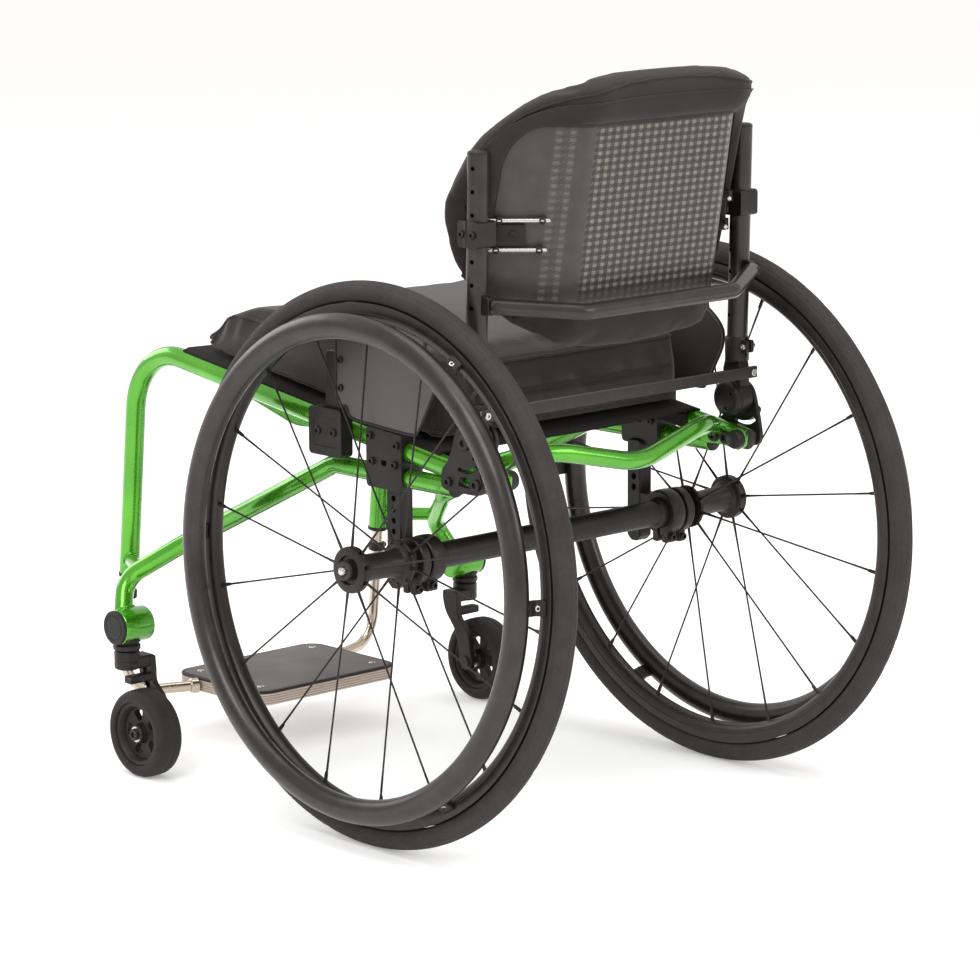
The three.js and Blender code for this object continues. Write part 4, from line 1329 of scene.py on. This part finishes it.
def cane_socket(put):
    """The forged foot of a cane: turning boss, tongue, split cup and its clamp bolt."""
    boss = lathe([(186.2, 5.6), (186.2, 17.4), (187.4, 18.9), (201.8, 18.9), (203.2, 17.4), (203.2, 5.6),
                  (186.2, 5.6)], 48)
    put("cane_socket_*_boss", moved(boss, 0, HINGE_Y, HINGE_Z), BLACK, "back", "cane_socket_*")
    outline = rounded([(82, 446), (108, 446), (108, 470), (105, 484), (86, 484), (82, 470)], 4)
    tongue = prism(outline, 187.6, 202.4)
    bore = moved(cylinder(150, 220, 18.6, 40), 0, HINGE_Y, HINGE_Z)
    rib = joined(block(184, 190, 89, 101, 458, 478, 3), block(200, 206, 89, 101, 458, 478, 3))
    put("cane_tongue_*", tongue, BLACK, "back", cut=joined(bore, rib), edge=1.5)
    cup = lathe([(478, 0), (478, 11.4), (479.4, 13.2), (504, 13.4), (505.6, 12.6), (506, 10.8), (488, 10.8),
                 (488, 0)], 48)
    slit = block(CANE_X - 1.2, CANE_X + 1.2, 100, 118, 484, 510, 0.8)
    put("cane_cup_*", upright(cup, CANE_X, 96), BLACK, "back", cut=slit, edge=0.5)
    lugs = joined(block(189, 193.6, 106, 116, 489, 503, 2.5), block(196.4, 201, 106, 116, 489, 503, 2.5))
    put("cane_cup_ears_*", lugs, BLACK, "back", edge=0.9)
    heads = joined(bolt(vec(201, 111.5, 496), OUTWARD, 3.4, 3.6), bolt(vec(189, 111.5, 496), INWARD, 3.4, 3))
    put("cane_cup_bolts_*", heads, SILVER, "back")


def cane(put):
    """An upright of the back, drilled at even steps for the height of the shell."""
    path = [vec(CANE_X, cane_y(z), z) for z in (CANE_BOTTOM + 2, 560, 640, CANE_TOP - 2)]
    holes = [along(cylinder(-20, 20, 2.4, 16), vec(CANE_X, cane_y(z), z), vec(1, 0.3, 0))
             for z in range(530, 736, 24)]
    put("back_cane_*_tube", tube(path, CANE_R, 36), COATED, "back", "back_cane_*", cut=joined(*holes))
    cap = lathe([(-3, 0), (-3, CANE_R - 1), (0, CANE_R - 1), (0.1, CANE_R + 0.1), (2.2, CANE_R - 0.2),
                 (3.6, CANE_R - 2.6), (4, 0)], 36)
    put("back_cane_*_cap", upright(cap, CANE_X, cane_y(CANE_TOP), CANE_TOP - 4), NYLON, "back")


def leaned(points):
    """Points of the back leaned rearward about a level line near the shell's top."""
    return [vec(p.x, p.y + RECLINE * (p.z - SHELL["lean_z"]), p.z) for p in points]


def reclined(form):
    points, faces = form
    return leaned(points), faces


def fine_plan():
    """Half of the shell's plan, from the middle to beyond the wing tip, as (point, normal) pairs."""
    corners = [vec(0, SHELL["y"], 0), vec(SHELL["corner"], SHELL["y"], 0), vec(*SHELL["tip"], 0)]
    path = bent(corners, SHELL["bend"], 8)
    fine = []
    for a, b in zip(path, path[1:]):
        count = max(1, round((b - a).length / 4))
        fine += [a.lerp(b, i / count) for i in range(count)]
    fine.append(path[-1])
    result = []
    for i, point in enumerate(fine):
        ahead = fine[min(i + 1, len(fine) - 1)] - fine[max(i - 1, 0)]
        result.append((point, vec(-ahead.y, ahead.x, 0).normalized()))
    result[0] = (fine[0], vec(0, 1, 0))
    return result


PLAN = fine_plan()
COLUMNS = range(1 - len(PLAN), len(PLAN))


def at(column, offset, z):
    """The point at a column of the plan, so far behind the shell's rear face, at a height."""
    point, normal = PLAN[abs(column)]
    place = point + normal * offset
    return vec(place.x if column > 0 else -place.x, place.y, z)


def plan_x(column):
    return PLAN[abs(column)][0].x


def column_at(x):
    """The column nearest to a distance from the middle."""
    return min(range(len(PLAN)), key=lambda i: abs(PLAN[i][0].x - x))


def stepped(x, *stops):
    """A height read off straight runs between (x, height) stops, the same on both sides."""
    x = min(max(abs(x), stops[0][0]), stops[-1][0])
    for (x0, z0), (x1, z1) in zip(stops, stops[1:]):
        if x <= x1:
            return z0 + (z1 - z0) * (x - x0) / (x1 - x0)
    return stops[-1][1]


def shell_top(x):
    return stepped(x, (0, 764), (132, 764), (150, 760), (166, 750), (178, 733), (186, 713), (189, 690))


def shell_bottom(x):
    return stepped(x, (0, 566), (146, 566), (160, 571), (172, 583), (180, 601), (186, 630), (189, 670))


def pad_top(x):
    return stepped(x, (0, 817), (30, 817), (60, 816), (84, 814), (104, 811), (124, 807), (140, 800),
                   (156, 788), (172, 771), (186, 755), (196, 736), (204, 710), (209, 684))


def pad_bottom(x):
    return stepped(x, (0, 517), (55, 520), (90, 525), (120, 533), (150, 551), (170, 572), (184, 592),
                   (196, 616), (204, 642), (209, 668))


def flap_edge(x):
    """The height of the lower edge of the cover's rear flap."""
    return stepped(x, (0, 760.5), (100, 761.5), (126, 763), (140, 763), (150, 759), (158, 751), (164.5, 739),
                   (168.5, 721), (170.5, 700), (171.5, 604), (180, 598), (188, 606), (196, 626), (204, 652),
                   (209, 676))


def roll(x):
    """How far the pad's roll stands out behind the shell."""
    return stepped(x, (0, 13), (60, 14), (100, 16), (122, 17), (150, 15), (180, 10), (209, 6))


def back_shell():
    """The composite shell: one bent sheet with a trimmed edge."""
    columns = []
    last = column_at(188.5)
    for column in range(-last, last + 1):
        x = plan_x(column)
        low, high = shell_bottom(x), shell_top(x)
        levels = [low + (high - low) * i / 40 for i in range(41)]
        rear = [at(column, 0, z) for z in levels]
        front = [at(column, -SHELL["thick"], z) for z in reversed(levels)]
        columns.append(rear + front)
    build("back_shell_sheet", reclined(skin(columns)), WEAVE, "back", ["back_shell"], crease=50)
    rim_line = []
    for column in range(-last, last + 1):
        rim_line.append(at(column, -1.5, shell_bottom(plan_x(column))))
    for column in range(last, -last - 1, -1):
        rim_line.append(at(column, -1.5, shell_top(plan_x(column))))
    build("back_shell_edging", sweep(leaned(rim_line), circle(2.1, 10), closed=True), EDGING, "back")


def back_pad():
    """The pad lines the shell, hangs below it, and rolls over its top edge."""
    columns = []
    for column in COLUMNS:
        x = plan_x(column)
        top, bottom, high = pad_top(x), pad_bottom(x), shell_top(x) + 1
        behind, thick = roll(x), stepped(x, (0, 36), (100, 36), (150, 29), (186, 23), (200, 18), (209, 10))
        rear, face = -SHELL["thick"] - 1.4, -SHELL["thick"] - 1.4 - thick
        middle = (rear + face) / 2
        columns.append([
            at(column, rear, bottom + 4), at(column, rear, (bottom + high) / 2), at(column, rear, high),
            at(column, behind * 0.6, high + 2), at(column, behind, high + 0.35 * (top - high)),
            at(column, behind * 0.8, high + 0.75 * (top - high)), at(column, (behind + face) / 2, top),
            at(column, face + 5, top - 6), at(column, face, top - 22), at(column, face, (top + bottom) / 2),
            at(column, face, bottom + 24), at(column, face + 6, bottom + 7), at(column, middle, bottom)])
    obj = soft_solid("back_pad_cover", reclined(skin(columns)), 5)
    inflate(obj, 2.5, 5)
    relaxed(obj, 4)
    subdivided(obj)
    keep_off_shell(obj)
    smooth(obj.data, 70)
    dress(obj, PAD, "back", ["back_pad"])
    return obj


def keep_off_shell(obj):
    """Presses the pad's rear against the shell that backs it."""
    for vertex in obj.data.vertices:
        x, y, z = vertex.co.x / MM, (vertex.co.y - AXLE_Y) / MM, vertex.co.z / MM
        column = column_at(abs(x))
        if shell_bottom(x) - 2 < z < shell_top(x) + 1 and abs(x) < 190:
            point, normal = PLAN[column]
            flat = vec(abs(x), y - RECLINE * (z - SHELL["lean_z"]), 0)
            over = (flat - point).dot(normal) + SHELL["thick"] + 0.8
            if over > 0:
                vertex.co.y -= over / normal.y * MM


def back_flap():
    """The cover's flap: it falls from the roll over the shell's rear face to an arched edge."""
    columns = []
    last = column_at(189)
    span = range(-last, last + 1)
    for column in span:
        x = plan_x(column)
        edge, high, top = flap_edge(x), shell_top(x), pad_top(x)
        join = high + 0.5 * (top - high)
        reach = roll(x) + 1.6
        tall = join - edge
        outer = [at(column, 0.7 + (reach - 0.7) * t ** 0.8 + 2.6 * (1 - t), edge + tall * t)
                 for t in (0, 0.06, 0.2, 0.4, 0.6, 0.8, 1)]
        inner = [at(column, 0.8 + (reach - 5) * t * t, edge + tall * t) for t in (1, 0.8, 0.6, 0.4, 0.2, 0)]
        columns.append(outer + inner)
    flap = build("back_pad_flap", reclined(skin(columns)), PAD, "back", crease=80)
    hem, seam = [], []
    for column in span:
        x = plan_x(column)
        hem.append(at(column, 2.6, flap_edge(x) + 1))
        rise = stepped(x, (0, 0.96), (60, 0.88), (110, 0.72), (150, 0.58), (186, 0.5))
        seam.append(at(column, roll(x) + 1.2, shell_top(x) + rise * (pad_top(x) - shell_top(x))))
    build("back_pad_hem", sweep(leaned(hem), circle(1.5, 8)), PAD, "back")
    return leaned(seam)


def pad_seams(obj, rear_seam):
    """The sewn edge round the pad's face, and the arched seam behind its top."""
    tree = surface_tree(obj)
    route = []
    ends = column_at(199)
    around = list(range(-ends, ends + 1, 2))
    for column in around:
        x = plan_x(column)
        route.append(at(column, -40, pad_top(x) - 14))
    for column in reversed(around):
        x = plan_x(column)
        route.append(at(column, -40, pad_bottom(x) + 16))
    seam = piping(tree, curve_through(leaned(route), 3, closed=True), 1.3, 0.3, closed=True)
    arch = piping(tree, rear_seam, 1.3, 0.4)
    build("back_pad_seam", joined(seam, arch), PAD, "back")


def cane_clamp(put):
    """The block that ties the shell's wing to the cane, on two bright rails with their nuts."""
    block_form = prism(rounded([(83, 640), (113, 640), (113, 668), (83, 668)], 4), 181.5, 208)
    bore = sweep([vec(CANE_X, cane_y(600), 600), vec(CANE_X, cane_y(710), 710)], circle(CANE_R + 0.2, 36))
    split = block(CANE_X + CANE_R + 0.4, 212, 95, 98, 630, 680, 1)
    put("cane_clamp_*_block", block_form, BLACK, "back", "cane_clamp_*", cut=joined(bore, split), edge=1.2)
    start, finish = column_at(126), column_at(176)
    rails = []
    for z in (635, 666):
        rails.append(tube(leaned([at(i, 7.5, z) for i in range(start, finish)]), 2.4, 16, 0.8))
    put("cane_clamp_*_rails", joined(*rails), SILVER, "back")
    feet, heads = [], []
    for z in (635, 666):
        for i in (column_at(134), column_at(166)):
            foot, tip = leaned([at(i, 0.4, z), at(i, 8.4, z)])
            feet.append(rod(foot, tip, 4.2, 20))
            heads.append(bolt(tip, tip - foot, 3.6, 2.6))
    line = leaned([at(i, 3.4, 650.5) for i in range(column_at(146), column_at(186))])
    saddle = sweep(line, [(-2.6, -11), (2.6, -11), (2.6, 11), (-2.6, 11)], chamfer=0.6)
    put("cane_clamp_*_feet", joined(*feet), BLACK, "back", edge=0.4)
    put("cane_clamp_*_saddle", saddle, BLACK, "back", edge=0.8)
    foot, tip = leaned([at(column_at(154), 5.6, 650.5), at(column_at(154), 9, 650.5)])
    heads += [bolt(foot, tip - foot, 4.4, 3), bolt(vec(207.8, 90, 654), OUTWARD, 4, 3),
              bolt(vec(207.8, 106, 654), OUTWARD, 4, 3)]
    put("cane_clamp_*_bolts", joined(*heads), BLACK, "back")


def rigidizer():
    end_y = cane_y(BAR_Z) + CANE_R + 8
    path = bent([vec(CANE_X, end_y, BAR_Z), vec(110, 170, BAR_Z - 9), vec(-110, 170, BAR_Z - 9),
                 vec(-CANE_X, end_y, BAR_Z)], 26, 12)
    build("rigidizer_bar_tube", tube(path, 8.7, 36, 2.2), COATED, "back", ["rigidizer_bar"])
    forms = []
    for side in (LEFT, RIGHT):
        saddle = block(-5, 5, -12, 12, -10, 10, 4)
        forms.append(moved(saddle, side * (CANE_X - 1), cane_y(BAR_Z) + CANE_R - 2, BAR_Z))
    build("rigidizer_saddles", joined(*forms), BLACK, "back", edge=1.6)
    heads = [bolt(vec(side * (CANE_X - 2), end_y + 8, BAR_Z), vec(0, 1, 0), 4.6, 3) for side in (LEFT, RIGHT)]
    build("rigidizer_bolts", joined(*heads), BLACK, "back")


def release_bar():
    bar = block(-206, 206, RELEASE_Y - 2.4, RELEASE_Y + 2.4, RELEASE_Z - 6.4, RELEASE_Z + 6.4, 1.6)
    build("release_bar_strap", bar, ANODISED, "release_strap", ["release_bar"], edge=1)
    ends = [bolt(vec(side * 199, RELEASE_Y + 2.2, RELEASE_Z), REARWARD, 4, 2.6) for side in (LEFT, RIGHT)]
    build("release_bar_screws", joined(*ends), SILVER, "release_strap")


# ---- stage -----------------------------------------------------------------------------------
def camera():
    """A long lens from behind on the chair's left, a little above the wheels."""
    azimuth, elevation, tilt = radians(137.03), radians(11.04), radians(-0.25)
    back = vec(sin(azimuth) * cos(elevation), -cos(azimuth) * cos(elevation), sin(elevation))
    right = UPWARD.cross(back).normalized()
    up = back.cross(right)
    turn = Matrix((right, up, back)).transposed() @ Matrix.Rotation(tilt, 3, "Z")
    data = bpy.data.cameras.new("camera")
    data.sensor_width = 36
    data.lens = 145.7
    obj = bpy.data.objects.new("camera", data)
    obj.matrix_world = Matrix.Translation((2.9323, 3.0549 + AXLE_Y, 1.1733)) @ turn.to_4x4()
    bpy.context.scene.collection.objects.link(obj)
    bpy.context.scene.camera = obj


def area_light(name, place, size, power):
    data = bpy.data.lights.new(name, "AREA")
    data.shape = "RECTANGLE"
    data.size, data.size_y = size
    data.energy = power
    obj = bpy.data.objects.new(name, data)
    aim = Vector((0, 0, 0.4)) - Vector(place)
    obj.matrix_world = Matrix.Translation(place) @ aim.to_track_quat("-Z", "Y").to_matrix().to_4x4()
    bpy.context.scene.collection.objects.link(obj)


def studio():
    mesh = bpy.data.meshes.new("floor")
    reach = 14
    mesh.from_pydata([(-reach, -reach, 0), (reach, -reach, 0), (reach, reach, 0), (-reach, reach, 0)], [],
                     [(0, 1, 2, 3)])
    floor = bpy.data.objects.new("floor", mesh)
    bpy.context.scene.collection.objects.link(floor)
    material = bpy.data.materials.new("floor")
    material.use_nodes = True
    shader = material.node_tree.nodes["Principled BSDF"]
    shader.inputs["Base Color"].default_value = (0.9, 0.9, 0.9, 1)
    shader.inputs["Roughness"].default_value = 0.9
    shader.inputs["Emission Color"].default_value = (1, 1, 1, 1)
    shader.inputs["Emission Strength"].default_value = 0.22
    mesh.materials.append(material)
    world = bpy.data.worlds.new("studio")
    world.use_nodes = True
    world.node_tree.nodes["Background"].inputs["Color"].default_value = (1, 0.978, 0.968, 1)
    world.node_tree.nodes["Background"].inputs["Strength"].default_value = 0.84
    bpy.context.scene.world = world
    area_light("key", (3.4, 1.2, 3.2), (2.2, 2.2), 90)
    area_light("fill", (-1.6, 4.2, 2.4), (2.6, 2.0), 60)
    area_light("top", (0.2, 0.2, 3.6), (3.0, 3.0), 60)
    area_light("front", (0.5, -4, 2), (2.6, 2.0), 40)
    bpy.context.scene.view_settings.view_transform = "Standard"


camera()
studio()
frame_tubes()
camber_tube()
sling()
under_straps()
for side_name, side_sign in SIDES.items():
    put_side = one_side(side_name, side_sign)
    wheel(put_side, SPOKE_START[side_name])
    for make in (caster, caster_mount, side_frame, rear_gusset, camber_plug, axle_post, camber_clamp,
                 foot_tube, leg_end, side_guard, guard_receiver, back_bracket, cane_socket, cane, cane_clamp):
        make(put_side)
footrest()
cushion()
back_shell()
pad_seams(back_pad(), back_flap())
rigidizer()
release_bar()
